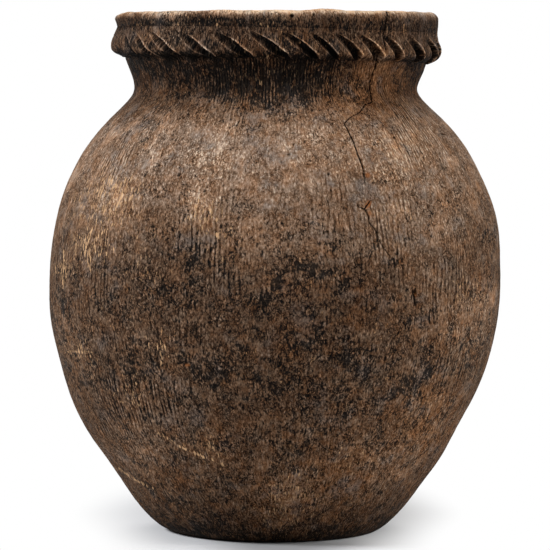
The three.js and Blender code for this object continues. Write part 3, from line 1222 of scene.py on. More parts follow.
class WorkedSkin(ShapeTree):
    """The tree that combs, dents and cracks a skin and gives it its finishes."""

    NAME = "worked_skin"
    NUMBERS = ("Comb Depth", "Comb Width", "Comb Length", "Grain Depth", "Wobble", "Wobble Size", "Seed")
    INPUTS = {
        "Clay": "geometry",
        **dict.fromkeys(NUMBERS, "number"),
        "Outside": "material",
        "Inside": "material",
    }
    COMB_NOISE = (1.0, 0.5)  # layers and roughness of the combing
    LINE_GAP = 1.5  # distance between comb lines, in comb widths
    LINE = (0.0, 0.2, 1.0, 0.0)
    LINE_DEPTH = -0.6
    BROAD = (0.7, 0.22)  # share of the broad ridges, and how far the whole stands out
    PATCHES = Noise(34 * MM, 3.0)
    PATCHY = (-0.35, 0.3, 0.35, 1.0)
    GRAIN = Noise(3.2 * MM, 2.0, 0.6, squeeze=0.5)
    WOBBLE_NOISE = (2.0, 0.45)  # layers and roughness of the wall's unevenness
    CORNER = 0.99  # a point past this is on a corner
    INNER_SKIN = 0.5  # a point under this is inside

    def _made(self) -> Socket:
        """Lays the nodes.

        Returns:
            The worked clay.
        """
        bench, given = self.bench, self.given
        skin = self._named("skin")
        shift = bench.joined(0.0, 0.0, given["Seed"])
        place = bench.vector("ADD", self._named("wall_place", "FLOAT_VECTOR"), shift)
        squeeze = bench.math("DIVIDE", given["Comb Width"], given["Comb Length"])
        drawn = bench.vector("MULTIPLY", place, bench.joined(1.0, 1.0, squeeze))
        line_gap = bench.product(given["Comb Width"], self.LINE_GAP)
        lines = bench.noise(drawn, Noise(line_gap, *self.COMB_NOISE))
        furrow = bench.eased(bench.math("ABSOLUTE", lines), *self.LINE)
        broad = bench.noise(drawn, Noise(given["Comb Width"], *self.COMB_NOISE))
        ridge = bench.summed(bench.math("MULTIPLY_ADD", broad, *self.BROAD), (furrow, self.LINE_DEPTH))
        patchy = bench.eased(bench.noise(place, self.PATCHES), *self.PATCHY)
        ridge = bench.product(ridge, self._named(Stain.COMBING.value), patchy)

        lift = bench.summed(
            bench.product(ridge, given["Comb Depth"]),
            (bench.noise(place, self.GRAIN), given["Grain Depth"]),
            (bench.noise(place, Noise(given["Wobble Size"], *self.WOBBLE_NOISE)), given["Wobble"]),
        )
        lift = bench.product(bench.math("ADD", lift, self._named("hollow")), self._named("give"))
        offset = bench.scaled(self._named("wall_normal", "FLOAT_VECTOR"), lift)
        shape = self._stored(given["Clay"], "ridge", bench.product(ridge, skin))
        shape = bench.add("GeometryNodeSetPosition", {"Geometry": shape, "Offset": offset}).outputs[0]

        shape = bench.add("GeometryNodeSetShadeSmooth", {"Geometry": shape, "Shade Smooth": True}).outputs[0]
        sharp = bench.math("GREATER_THAN", self._named("corner"), self.CORNER)
        shape = self._stored(shape, "sharp_edge", sharp, "BOOLEAN", "EDGE")
        shape = bench.add("GeometryNodeRealizeInstances", {"Geometry": shape}).outputs[0]
        inner = bench.math("LESS_THAN", skin, self.INNER_SKIN)
        for finish, where in (("Outside", True), ("Inside", inner)):
            inputs = {"Geometry": shape, "Selection": where, "Material": given[finish]}
            shape = bench.add("GeometryNodeSetMaterial", inputs).outputs[0]
        return shape


class ClayShader:
    """The shader group that colours fired clay: comb lines, flecks, wear, soot, chips and cracks, with a
    relief tone that is partly painted shade and highlight.
    """

    STORED = (
        "Ridge", "Combing", "Wear", "Soot", "Rust", "Crack Side", "Crack Near", "Pit", "Pale", "Chip",
    )  # inputs that are fed by the attributes of a piece
    TONES = (
        (0.00, "#130b06"),
        (0.25, "#423125"),
        (0.50, "#6d5542"),
        (0.75, "#987b65"),
        (1.00, "#dabd9f"),
    )
    SOOT_AND_PAINTED_SHADE = "#727e8c"  # what clay keeps of its colour under soot, and under the painted shade that the soot carries
    RUST = "#f4d8b8"  # what rusty clay keeps of its colour
    BLOOM = "#6f6863"
    FLECK = "#b58b64"
    CHIP = "#8a5228"
    CRACK = "#170e08"
    PALE = "#c79f76"
    COOL = (0.96, 1.05, 1.14, 1.0)  # what the fire did to the clay's colour, from place to place
    WARM = (1.05, 0.92, 0.78, 1.0)

    # Comb lines
    COMB_LINES = 285  # furrows round the jar
    WAVER = Noise(17 * MM, squeeze=0.35)
    WAVER_WIDTH = 1.3  # in furrows
    SHAKE = Noise(5 * MM, 1.0, squeeze=0.3)
    SHAKE_WIDTH = 0.4
    TOOTH_STEP = 3.71  # how far apart two teeth read their noise
    TOOTH_LENGTH = 18 * MM
    TOOTH = Noise(1.0)
    TOOTH_PRESS = (-0.35, 0.25)
    FURROW = (0.04, 0.36, 1.0, -0.4)
    COMB_PATCHES = Noise(24 * MM, 3.0)
    COMB_PATCH_SHARE = 0.7
    COMBED = (0.2, 0.8)
    COMBED_FLAT = -0.7  # how far combing takes the creases away

    # Creases of the dried slip
    WIDE_CREASES = Noise(4.4 * MM, 2.0, 0.5, 1.2)
    WIDE_CREASE = (0.01, 0.07, 1.0, 0.0)
    FINE_CREASES = Noise(2.3 * MM, 1.0, 0.5, 1.0)
    FINE_CREASE = (0.01, 0.11, 1.0, 0.0)
    FINE_SHARE = 0.75
    CREASE_PATCHES = Noise(13 * MM, 3.0)
    CREASED = (-0.35, 0.15)

    # Flecks and lumps, with what each mark adds to the height and the tone; in the tone, dark creases and
    # furrows and light lumps are partly dirt and worn crests and partly painted shade and highlight
    FLECKS = Noise(2.1 * MM, 3.0, 0.65)
    LUMPS = Noise(3.3 * MM, 1.0, 0.5, 0.7)
    SPECKS = Noise(0.85 * MM, 1.0, 0.6, squeeze=0.45)
    FIBRES = Noise(1.3 * MM, 2.0, 0.6, squeeze=0.42)
    BLOTS = Noise(11 * MM, 5.0, 0.68)
    CLOUDS = Noise(60 * MM, 4.0, 0.6)
    HEIGHT_SHARES = {"fibre": 0.12, "lump": 0.35, "furrow": -0.28, "crease": -0.4}
    RELIEF_SHARES = {
        "fibre": 0.52, "fleck": 0.13, "speck": 0.5, "furrow": -0.36, "crease": -0.42, "lump": 0.12,
    }
    RIDGE_SHARE = 0.3
    LIGHTER = 0.12
    BLOT_SHARE = 0.06
    CLOUD_SHARE = 0.08

    # Rust, bloom, rubbed flecks, soot, the fire's hues, strokes, chips and cracks
    RUSTING = Noise(5 * MM, 4.0, 0.7)
    RUSTING_SHARE = 0.8
    RUSTY = (-0.1, 0.7)
    BLOOMING = Noise(19 * MM, 4.0, 0.62)
    BLOOM_RELIEF = 0.3
    BLOOMED = (0.02, 0.4, 0.0, 0.8)
    RUBBING = Noise(1.7 * MM, 2.0, 0.6, squeeze=0.3)
    RUB_PATCHES = Noise(26 * MM, 3.0)
    RUB_PATCH_SHARE = 0.5
    RUB_WEAR = -0.25
    RUBBED = (0.32, 0.5, 0.0, 0.75)
    VEINS = Noise(15 * MM, 4.0, 0.6, 0.8)
    VEIN_SMOKE = -1.2
    SMOKE_SHARES = {"blot": 0.5, "cloud": 0.2, "detail": -0.55}
    SMOKED = (0.02, 0.3)
    FIRING = Noise(17 * MM, 5.0, 0.8)
    FIRING_DETAIL = -0.55
    FIRED = (-0.4, 0.4)
    STROKES = Noise(1.15 * MM, 1.0, 0.5, squeeze=0.2)
    STROKE_FLECK = 0.35
    STROKE_PALE = 0.5
    STRUCK = (0.44, 0.58, 0.0, 0.85)
    PALE_EDGE = (0.0, 0.2)
    CHIPPED = (-0.4, 0.3, 0.6, 0.95)
    SPLIT_FLECK = 1.2
    SPLIT = (-0.05, 0.45, 1.0, 0.0)
    SPLIT_END = (0.0, 0.25)
    SPLIT_HEIGHT = -0.8
    ROUGHNESS = 0.86
    ROUGH_DETAIL = 0.10
    ROUGH_SMOKE = -0.08

    def __init__(self) -> None:
        """Builds the group."""
        numbers = dict.fromkeys((*self.STORED, "Contrast"), "number")
        inputs = {"Place": "vector", "Grain": "vector", **numbers}
        outputs = {"Colour": "colour", "Roughness": "number", "Height": "number"}
        self.recipe = NodeRecipe("smoked_clay", TreeKind.FINISH, inputs, outputs)
        self.bench, self.given = self.recipe.bench, self.recipe.given
        self.place = self.given["Place"]
        self.drawn = self.bench.vector("MULTIPLY", self.place, self.given["Grain"])
        self._fill()

    def _combed(self) -> tuple[Socket, Socket]:
        """Draws the furrows that a toothed tool left up the wall.

        Returns:
            The depth of the furrows, and how far each place was combed, both from 0 to 1.
        """
        bench = self.bench
        across, ahead, run = bench.parted(self.place)
        angle = bench.math("ARCTAN2", across, bench.product(ahead, -1.0))
        line = bench.summed(
            bench.product(bench.noise(self.place, self.WAVER), self.WAVER_WIDTH),
            (angle, self.COMB_LINES / math.tau),
            (bench.noise(self.place, self.SHAKE), self.SHAKE_WIDTH),
        )
        aside = bench.math("ABSOLUTE", bench.math("SUBTRACT", bench.math("FRACT", line), 0.5))
        tooth = bench.joined(bench.product(bench.math("FLOOR", line), self.TOOTH_STEP), 0.0, run)
        tooth = bench.vector("MULTIPLY", tooth, (1.0, 1.0, 1 / self.TOOTH_LENGTH))
        pressed = bench.eased(bench.noise(tooth, self.TOOTH), *self.TOOTH_PRESS)
        patches = bench.noise(self.place, self.COMB_PATCHES)
        combed = bench.summed(self.given["Combing"], (patches, self.COMB_PATCH_SHARE))
        combed = bench.eased(combed, *self.COMBED)
        return bench.product(bench.eased(aside, *self.FURROW), pressed, combed), combed

    def _wrinkled(self) -> Socket:
        """Draws the fine creases of dried slip.

        Returns:
            0 on the flat and 1 in a crease.
        """
        bench = self.bench
        wide, fine = (
            bench.eased(bench.math("ABSOLUTE", bench.noise(self.drawn, creases)), *limits)
            for creases, limits in (
                (self.WIDE_CREASES, self.WIDE_CREASE),
                (self.FINE_CREASES, self.FINE_CREASE),
            )
        )
        here = bench.eased(bench.noise(self.place, self.CREASE_PATCHES), *self.CREASED)
        return bench.product(bench.math("MAXIMUM", wide, bench.product(fine, self.FINE_SHARE)), here)

    def _marks(self) -> dict[str, Socket]:
        """Draws the marks that the clay's tone and relief are made of.

        Returns:
            The marks by name.
        """
        bench = self.bench
        furrow, combed = self._combed()
        creased = bench.math("MULTIPLY_ADD", combed, self.COMBED_FLAT, 1.0)
        return {
            "furrow": furrow,
            "crease": bench.product(self._wrinkled(), creased),
            "fleck": bench.noise(self.drawn, self.FLECKS),
            "lump": bench.noise(self.drawn, self.LUMPS),
            "speck": bench.noise(self.place, self.SPECKS),
            "fibre": bench.noise(self.place, self.FIBRES),
            "blot": bench.noise(self.place, self.BLOTS),
            "cloud": bench.noise(self.place, self.CLOUDS),
        }

    def _gathered(self, start: Feed, marks: dict[str, Socket], shares: dict[str, float]) -> Socket:
        """Adds shares of the named marks to a number."""
        return self.bench.summed(start, *((marks[name], share) for name, share in shares.items()))

    def _clay(self, marks: dict[str, Socket], relief: Socket) -> Socket:
        """Colours the bare clay by its wear, which also carries some painted sheen, highlight and shade.

        Args:
            marks: The marks, with the detail among them.
            relief: The fine relief.

        Returns:
            The colour, with rust, pale bloom and rubbed flecks.
        """
        bench, given = self.bench, self.given
        tone = bench.math("MULTIPLY_ADD", marks["detail"], given["Contrast"], given["Wear"])
        tone = bench.summed(tone, (marks["blot"], self.BLOT_SHARE))
        tone = bench.math("MULTIPLY_ADD", marks["cloud"], self.CLOUD_SHARE, tone, clamp=True)
        colour = bench.ramp(tone, self.TONES)
        rust = bench.summed(given["Rust"], (bench.noise(self.drawn, self.RUSTING), self.RUSTING_SHARE))
        colour = bench.tinted(bench.eased(rust, *self.RUSTY), colour, linear(self.RUST), "MULTIPLY")
        bloom = bench.summed(bench.noise(self.place, self.BLOOMING), (relief, self.BLOOM_RELIEF))
        bloom = bench.product(bench.eased(bloom, *self.BLOOMED), given["Wear"])
        colour = bench.tinted(bloom, colour, linear(self.BLOOM))
        rubbed = bench.summed(
            bench.noise(self.place, self.RUBBING),
            (bench.noise(self.place, self.RUB_PATCHES), self.RUB_PATCH_SHARE),
            (given["Wear"], self.RUB_WEAR),
        )
        return bench.tinted(bench.eased(rubbed, *self.RUBBED), colour, linear(self.FLECK))

    def _smoke(self, marks: dict[str, Socket]) -> Socket:
        """Draws the soot in veins and blots, with the painted shade that the soot carries in and under the
        band.

        Args:
            marks: The marks, with the detail among them.

        Returns:
            0 on clean clay and 1 under full soot or full painted shade.
        """
        vein = self.bench.math("ABSOLUTE", self.bench.noise(self.place, self.VEINS))
        smoke = self.bench.summed(self.given["Soot"], (vein, self.VEIN_SMOKE))
        return self.bench.eased(self._gathered(smoke, marks, self.SMOKE_SHARES), *self.SMOKED)

    def _split(self, fleck: Socket) -> Socket:
        """Draws the ragged cracks and the pits.

        Args:
            fleck: The flecks that fray a crack's edge.

        Returns:
            0 on whole clay and 1 in a crack or a pit.
        """
        bench, near = self.bench, self.given["Crack Near"]
        side = bench.summed(bench.math("ABSOLUTE", self.given["Crack Side"]), (fleck, self.SPLIT_FLECK))
        split = bench.eased(bench.math("SUBTRACT", side, near), *self.SPLIT)
        split = bench.product(split, bench.eased(near, *self.SPLIT_END))
        return bench.math("MAXIMUM", split, self.given["Pit"])

    def _fill(self) -> None:
        """Lays the group's nodes."""
        bench, given, result = self.bench, self.given, self.recipe.result
        marks = self._marks()
        fleck = marks["fleck"]
        # relief tone: darker creases and furrows and lighter lumps, partly dirt and worn crests, partly
        # painted shade and highlight
        relief = self._gathered(0.0, marks, self.RELIEF_SHARES)
        lighter = bench.math("ADD", relief, self.LIGHTER)
        detail = marks["detail"] = bench.summed(lighter, (given["Ridge"], self.RIDGE_SHARE))
        # smoke: soot, and the painted shade that the soot attribute carries
        smoke = self._smoke(marks)
        split = self._split(fleck)

        colour = bench.tinted(smoke, self._clay(marks, relief), linear(self.SOOT_AND_PAINTED_SHADE), "MULTIPLY")
        warmth = bench.summed(bench.noise(self.place, self.FIRING), (detail, self.FIRING_DETAIL))
        firing = bench.tinted(bench.eased(warmth, *self.FIRED), self.COOL, self.WARM)
        colour = bench.tinted(1.0, colour, firing, "MULTIPLY")
        stroke = bench.noise(self.place, self.STROKES)
        stroke = bench.summed(stroke, (fleck, self.STROKE_FLECK), (given["Pale"], self.STROKE_PALE))
        pale = bench.product(bench.eased(stroke, *self.STRUCK), bench.eased(given["Pale"], *self.PALE_EDGE))
        colour = bench.tinted(pale, colour, linear(self.PALE))
        chip = bench.product(given["Chip"], bench.eased(fleck, *self.CHIPPED))
        colour = bench.tinted(chip, colour, linear(self.CHIP))
        bench.feed(result["Colour"], bench.tinted(split, colour, linear(self.CRACK)))

        rough = bench.math("MULTIPLY_ADD", detail, self.ROUGH_DETAIL, self.ROUGHNESS)
        rough = bench.math("MULTIPLY_ADD", smoke, self.ROUGH_SMOKE, rough, clamp=True)
        bench.feed(result["Roughness"], rough)
        height = self._gathered(0.0, marks, self.HEIGHT_SHARES)
        bench.feed(result["Height"], bench.summed(height, (split, self.SPLIT_HEIGHT)))


@dataclass(frozen=True)
class ClayFinish:
    """A finish of the fired clay."""

    name: str
    grain: Triple
    contrast: float
    bump: float
    shine: float = 0.05

    def material(self, shader: ClayShader) -> bpy.types.Material:
        """Makes the finish's material.

        Args:
            shader: The shared shader group.

        Returns:
            A material that reads the clay's own attributes.
        """
        material = bpy.data.materials.new(self.name)
        material.use_nodes = True
        bench = NodeBench(material.node_tree)
        principled = next(n for n in material.node_tree.nodes if n.type == "BSDF_PRINCIPLED")
        clay = bench.add("ShaderNodeGroup", node_tree=shader.recipe.tree)
        bench.feed(clay.inputs["Place"], self._attribute(bench, "wall_place", "Vector"))
        for socket in shader.STORED:
            bench.feed(clay.inputs[socket], self._attribute(bench, field_name(socket), "Fac"))
        bench.feed(clay.inputs["Grain"], self.grain)
        bench.feed(clay.inputs["Contrast"], self.contrast)
        relief = {"Height": clay.outputs["Height"], "Strength": 1.0, "Distance": self.bump}
        bench.feed(principled.inputs["Normal"], bench.add("ShaderNodeBump", relief).outputs[0])
        bench.feed(principled.inputs["Base Color"], clay.outputs["Colour"])
        bench.feed(principled.inputs["Roughness"], clay.outputs["Roughness"])
        bench.feed(principled.inputs["Specular IOR Level"], self.shine)
        return material

    @staticmethod
    def _attribute(bench: NodeBench, name: str, output: str) -> Socket:
        """Reads an attribute of the piece."""
        return bench.add("ShaderNodeAttribute", attribute_name=name).outputs[output]


COMBED_CLAY = ClayFinish("combed_clay", (1.0, 1.0, 0.7), 0.72, 3.4 * MM)
WIPED_CLAY = ClayFinish("wiped_inside_clay", (0.14, 0.14, 1.0), 0.25, 0.4 * MM)
PRESSED_CLAY = ClayFinish("pressed_band_clay", (1.0, 1.0, 0.55), 0.72, 3.0 * MM)


@dataclass
class Workshop:
    """What every piece needs: the outline, the trees, the weathering and the finishes."""

    outline: JarOutline
    turning: TurnedWall
    twisting: RopeTwist
    working: WorkedSkin
    weathering: Weathering
    combed: bpy.types.Material
    wiped: bpy.types.Material
    pressed: bpy.types.Material

    def __post_init__(self) -> None:
        """Draws the two faces of the wall."""
        self.outside = self.outline.outside()
        self.inside = self.outline.inside()


@dataclass
class ClayPiece(ABC):
    """A piece of the jar that stands for one node of the frame."""

    node: str
    slot: str
    columns: int = 1440  # steps round the jar
    row_gap: float = 1.35 * MM  # between the rows of the outside
    plain_gap: float = 7 * MM  # between the rows of the joints and the inside
    comb_depth: float = 0.5 * MM
    comb_width: float = 3.4 * MM
    comb_length: float = 22 * MM
    grain_depth: float = 0.3 * MM
    wobble: float = 1.3 * MM
    wobble_size: float = 95 * MM
    firm_foot: float = 6 * MM  # height over which the surface comes to give, so that the jar stands flat
    seed: float = 3.7

    @abstractmethod
    def stretches(self, shop: Workshop) -> list[Stretch]:
        """Gives the stretches of the piece's section, from corner to corner."""

    def section(self, shop: Workshop) -> bpy.types.Object:
        """Makes the piece's section as a line of points with attributes.

        Args:
            shop: The workshop.

        Returns:
            An object whose points are the rows of the piece.
        """
        rows: list[np.ndarray] = []
        for stretch in self.stretches(shop):
            at, out, run = stretch.rows()
            corner = np.zeros(len(run))
            corner[[0, -1]] = 1
            skin = np.full(len(run), stretch.skin.value)
            block = np.column_stack([at, out, run, skin, corner])
            if rows and stretch.skin is Skin.WORKED:
                rows[-1] = rows[-1][:-1]
            elif rows:
                block = block[1:]
            rows.append(block)
        section = np.vstack(rows)
        if np.allclose(section[0, :2], section[-1, :2]):
            section[-1] = section[0]
        points, normals, (run, skin, corner) = section[:, :2], section[:, 2:4], section[:, 4:].T
        give = skin * smooth_step(points[:, 1], 0.0, self.firm_foot)
        return self._line(points, normals, {"up_wall": run, "skin": skin, "corner": corner, "give": give})

    def _line(
        self, points: np.ndarray, normals: np.ndarray, attributes: dict[str, np.ndarray]
    ) -> bpy.types.Object:
        """Puts a section in the scene.

        Args:
            points: Its points, as radius and height.
            normals: Their normals, as radius and height.
            attributes: What else is known of each point, by name.

        Returns:
            An object of the points alone.
        """
        mesh = bpy.data.meshes.new(f"{self.node}_section")
        mesh.from_pydata(np.insert(points, 1, 0.0, axis=1).tolist(), [], [])
        write_attribute(mesh, "face", np.insert(normals, 1, 0.0, axis=1))
        for name, values in attributes.items():
            write_attribute(mesh, name, values)
        return self._stand(mesh)

    @staticmethod
    def _stand(mesh: bpy.types.Mesh) -> bpy.types.Object:
        """Puts a mesh in the scene.

        Args:
            mesh: The mesh.

        Returns:
            An object at the origin that has it.
        """
        piece = bpy.data.objects.new(mesh.name, mesh)
        bpy.context.scene.collection.objects.link(piece)
        return piece

    @staticmethod
    def _clear(piece: bpy.types.Object) -> None:
        """Takes a helper and its mesh away.

        Args:
            piece: The helper.
        """
        mesh = piece.data
        bpy.data.objects.remove(piece)
        bpy.data.meshes.remove(mesh)

    def _measures(self, names: tuple[str, ...]) -> dict[str, float]:
        """Gives the piece's own measures, by the names of the inputs that they go to."""
        return {name: getattr(self, field_name(name)) for name in names}

    def form(self, shop: Workshop, section: bpy.types.Object) -> bpy.types.Mesh:
        """Turns the section into a closed ring.

        Args:
            shop: The workshop.
            section: The section.

        Returns:
            The ring.
        """
        finish, _ = self.finishes(shop)
        values = {"Columns": self.columns, "Rows": len(section.data.vertices), "Finish": finish}
        return shop.turning.apply(section, values)

    def finishes(self, shop: Workshop) -> tuple[bpy.types.Material, bpy.types.Material]:
        """Gives the finishes of the outside and the inside."""
        return shop.combed, shop.wiped

    def weather(self, shop: Workshop, mesh: bpy.types.Mesh) -> None:
        """Lays the jar's weathering on the formed piece."""
        shop.weathering.lay_on(mesh)

    def build(self, shop: Workshop) -> bpy.types.Object:
        """Forms, weathers and works the piece.

        Args:
            shop: The workshop.

        Returns:
            The finished piece, at the origin.
        """
        section = self.section(shop)
        formed = self._stand(self.form(shop, section))
        self._clear(section)
        self.weather(shop, formed.data)
        outside, inside = self.finishes(shop)
        values = self._measures(WorkedSkin.NUMBERS) | {"Outside": outside, "Inside": inside}
        mesh = shop.working.apply(formed, values)
        self._clear(formed)
        for name in ("hollow", "wall_normal", "corner", "give"):
            mesh.attributes.remove(mesh.attributes[name])
        if mesh.materials[0] is None:
            mesh.materials.pop(index=0)
        mesh.name = f"{self.node}_clay"
        return self._stand(mesh)

    def dress(self, piece: bpy.types.Object) -> None:
        """Sets the piece on the frame in place of its node.

        Args:
            piece: The finished piece.
        """
        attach(piece, "root")
        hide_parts(self.node)
        log.info("%s: %d faces", piece.name, len(piece.data.polygons))


@dataclass
class WallCourse(ClayPiece):
    """A ring of wall between two joints, whose heights are the frame's."""

    below: str = ""
    above: str = ""

    def stretches(self, shop: Workshop) -> list[Stretch]:
        """Gives the outside, the upper joint, the inside and the lower joint.

        Args:
            shop: The workshop.

        Returns:
            The stretches.
        """
        foot, top = (shop.outside.run_at(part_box(node)[0][2]) for node in (self.node, self.above))
        low, high = (shop.inside.run_at(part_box(node)[1][2]) for node in (self.below, self.node))
        outside = shop.outside.between(foot, top)
        inside = shop.inside.between(low, high)[::-1]
        return [
            Stretch(outside, self.row_gap, Skin.WORKED, foot),
            Stretch(np.array([outside[-1], inside[0]]), self.plain_gap, Skin.PLAIN, top),
            Stretch(inside, self.plain_gap, Skin.PLAIN, low),
            Stretch(np.array([inside[-1], outside[0]]), self.plain_gap, Skin.PLAIN, low),
        ]


@dataclass
class BaseSlab(ClayPiece):
    """The flat base."""

    above: str = "heel_course"

    def stretches(self, shop: Workshop) -> list[Stretch]:
        """Gives the underside, the edge, the joint and the floor.

        Args:
            shop: The workshop.

        Returns:
            The stretches.
        """
        edge_run = shop.outside.run_at(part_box(self.above)[0][2])
        floor_run = shop.inside.run_at(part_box(self.node)[1][2])
        edge = shop.outside.between(0.0, edge_run)
        floor_edge = shop.inside.between(0.0, floor_run)[-1]
        middle = np.array([0.0, shop.outline.base_thickness])
        return [
            Stretch(np.array([[0.0, 0.0], edge[0]]), self.plain_gap, Skin.PLAIN),
            Stretch(edge, self.row_gap, Skin.WORKED),
            Stretch(np.array([edge[-1], floor_edge]), self.plain_gap, Skin.PLAIN, edge_run),
            Stretch(np.array([floor_edge, middle]), self.plain_gap, Skin.PLAIN),
        ]


@dataclass
class WipedPiece(ClayPiece):
    """A piece that was wiped and not combed, with closer rows and a closer unevenness than the wall."""

    row_gap: float = 0.8 * MM
    wobble: float = 1.4 * MM
    wobble_size: float = 34 * MM
    combing: float = 0.08  # what it still shows of combing

    def finishes(self, shop: Workshop) -> tuple[bpy.types.Material, bpy.types.Material]:
        """Gives the finishes of the outside and of the inside or the hidden seat."""
        return shop.pressed, shop.wiped

    def weather(self, shop: Workshop, mesh: bpy.types.Mesh) -> None:
        """Lays the jar's weathering on the formed piece, with the piece's own combing."""
        shop.weathering.lay_on(mesh)
        write_attribute(mesh, Stain.COMBING.value, np.full(len(mesh.vertices), self.combing))


@dataclass
class RimLip(WipedPiece):
    """The lip, whose rounded top is worked like the outside."""

    comb_depth: float = 0.2 * MM
    below: str = "neck_collar"

    def stretches(self, shop: Workshop) -> list[Stretch]:
        """Gives the outside with the rounded top, the inside and the joint.

        Args:
            shop: The workshop.

        Returns:
            The stretches.
        """
        foot = shop.outside.run_at(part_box(self.node)[0][2])
        inside_foot = shop.inside.run_at(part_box(self.below)[1][2])
        outside = shop.outside.between(foot, shop.outside.run[-1])
        worked = np.vstack([outside, shop.outline.lip_top()[1:]])
        inside = shop.inside.between(inside_foot, shop.inside.run[-1])[::-1]
        return [
            Stretch(worked, self.row_gap, Skin.WORKED, foot),
            Stretch(inside, self.plain_gap, Skin.PLAIN, inside_foot),
            Stretch(np.array([inside[-1], worked[0]]), self.plain_gap, Skin.PLAIN, inside_foot),
        ]


@dataclass
class RopeBand(WipedPiece):
    """The applied band with its slanting gouges."""

    comb_depth: float = 0.1 * MM
    drop: float = 12.5 * MM  # from the top of the lip to the top of the band
    band_height: float = 22 * MM
    thickness: float = 7.6 * MM
    thin_edge: float = 1.6 * MM  # thickness of the lower edge
    top_edge: float = 0.0  # thickness of the upper edge
    crest: float = 0.64  # share of the way down where the band is thickest
    seat: float = 0.12 * MM  # gap to the wall
    gouges: int = 33
    gouge_depth: float = 6.8 * MM
    gouge_floor: float = 0.6 * MM  # thickness that the deepest gouge leaves
    gouge_width: float = 0.48  # share of the way from one gouge to the next
    lobe_fall: float = 1.3 * MM  # how much thinner a lobe is at its far end
    gouge_start: float = 0.05  # share of the way down
    slant: float = 25 * MM  # how far round the jar a gouge runs from top to bottom
    first_gouge: float = math.radians(3.0)
    drift: float = math.radians(3.8)  # how far the gouges stray from even places
    drift_waves: float = 4.0  # how often they stray, round the jar
    drift_start: float = math.radians(-24)
    tilt: float = 2.4 * MM  # how far the band droops on the right
    steps: int = 40  # columns for each gouge
    underside: Pair = (0.62, 0.9)  # shares of the way down between which the underside begins; it gets painted shade
    wear: float = 0.13  # what all of the band has more than the wall beside it
    # the lobe edges: lighter, with wear and a painted highlight
    rim_wear_and_highlight: float = 0.5
    # the gouges: darker, as painted shade
    painted_gouge_shade_by_tone: float = -0.22
    # the underside: darker, as painted shade
    painted_under_shade_by_tone: float = -0.2
    soot: float = -0.1
    # the lobe edges: less soot, with wear and a painted highlight
    rim_soot_off_and_highlight: float = -0.3
    # the gouges: more soot, as painted shade
    painted_gouge_shade_by_soot: float = 0.2
    # the underside: more soot, as painted shade
    painted_under_shade_by_soot: float = 0.2

    def stretches(self, shop: Workshop) -> list[Stretch]:
        """Gives the wall under the band, down its outer face and up its inner face.

        Args:
            shop: The workshop.

        Returns:
            The stretches.
        """
        top = shop.outside.run_at(shop.outline.height - self.drop)
        bottom = shop.outside.run_at(shop.outline.height - self.drop - self.band_height)
        seat = shop.outside.between(bottom, top)
        return [
            Stretch(seat[::-1], self.row_gap, Skin.WORKED, bottom),
            Stretch(seat, self.plain_gap, Skin.PLAIN, bottom),
        ]

    def section(self, shop: Workshop) -> bpy.types.Object:
        """Makes the section, with the band's thickness at each row.

        Args:
            shop: The workshop.

        Returns:
            An object whose points are the rows of the band.
        """
        blocks = []
        for stretch in self.stretches(shop):
            points, normals, run = stretch.rows()
            down = np.linspace(0, 1, len(run))
            if stretch.skin is Skin.WORKED:
                normals, run = -normals, run[::-1]
            else:
                down = 1 - down
            skin = np.full(len(run), stretch.skin.value)
            blocks.append(np.column_stack([points, normals, run, down, skin]))
        rows = np.vstack([*blocks, blocks[0][:1]])
        points, normals, (run, down, skin) = rows[:, :2], rows[:, 2:4], rows[:, 4:].T
        skin[down == 0] = 1.0
        over = down < self.crest
        rise = np.where(over, down / self.crest, (1 - down) / (1 - self.crest))
        edge = np.where(over, self.top_edge, self.thin_edge)
        swell = np.where(over, smooth_step(rise, 0.0, 1.0), np.sin(rise * math.pi / 2))
        full = edge + (self.thickness - edge) * swell
        known = {"up_wall": run, "skin": skin, "give": skin, "corner": 0 * skin, "down": down, "full": full}
        return self._line(points + normals * self.seat, normals, known)

    def form(self, shop: Workshop, section: bpy.types.Object) -> bpy.types.Mesh:
        """Lays the band round the neck and presses its gouges.

        Args:
            shop: The workshop.
            section: The section.

        Returns:
            The band.
        """
        values = self._measures(RopeTwist.NUMBERS) | {
            "Columns": self.gouges * self.steps,
            "Rows": len(section.data.vertices),
            "Gouges": self.gouges,
            "Slant": self.slant / shop.outline.lip_radius,
            "Finish": shop.pressed,
        }
        return shop.twisting.apply(section, values)

    def weather(self, shop: Workshop, mesh: bpy.types.Mesh) -> None:
        """Weathers the band, paints shade into its gouges and under it, and lightens the edges of the lobes
        with wear and a painted highlight.

        Args:
            shop: The workshop.
            mesh: The formed band.
        """
        super().weather(shop, mesh)
        # the gouge and underside masks take painted shade; the rim mask takes wear and a painted highlight
        gouge = read_attribute(mesh, "gouge", 1)
        rim = np.clip(read_attribute(mesh, "rim", 1), 0, 1)
        under = smooth_step(read_attribute(mesh, "down", 1), *self.underside)
        # each stain: all over, on the lobe edges (wear and painted highlight), in the gouges and on the
        # underside (painted shade)
        for stain, all_over, on_lit_worn_rim, in_gouge_shade, below in (
            (Stain.WEAR_AND_PAINTED_LIGHT, self.wear, self.rim_wear_and_highlight, self.painted_gouge_shade_by_tone, self.painted_under_shade_by_tone),
            (Stain.SOOT_AND_PAINTED_SHADE, self.soot, self.rim_soot_off_and_highlight, self.painted_gouge_shade_by_soot, self.painted_under_shade_by_soot),
        ):
            level = read_attribute(mesh, stain.value, 1) + all_over
            level += on_lit_worn_rim * rim + in_gouge_shade * gouge + below * under
            write_attribute(mesh, stain.value, level)
        for name in ("gouge", "rim", "down"):
            mesh.attributes.remove(mesh.attributes[name])


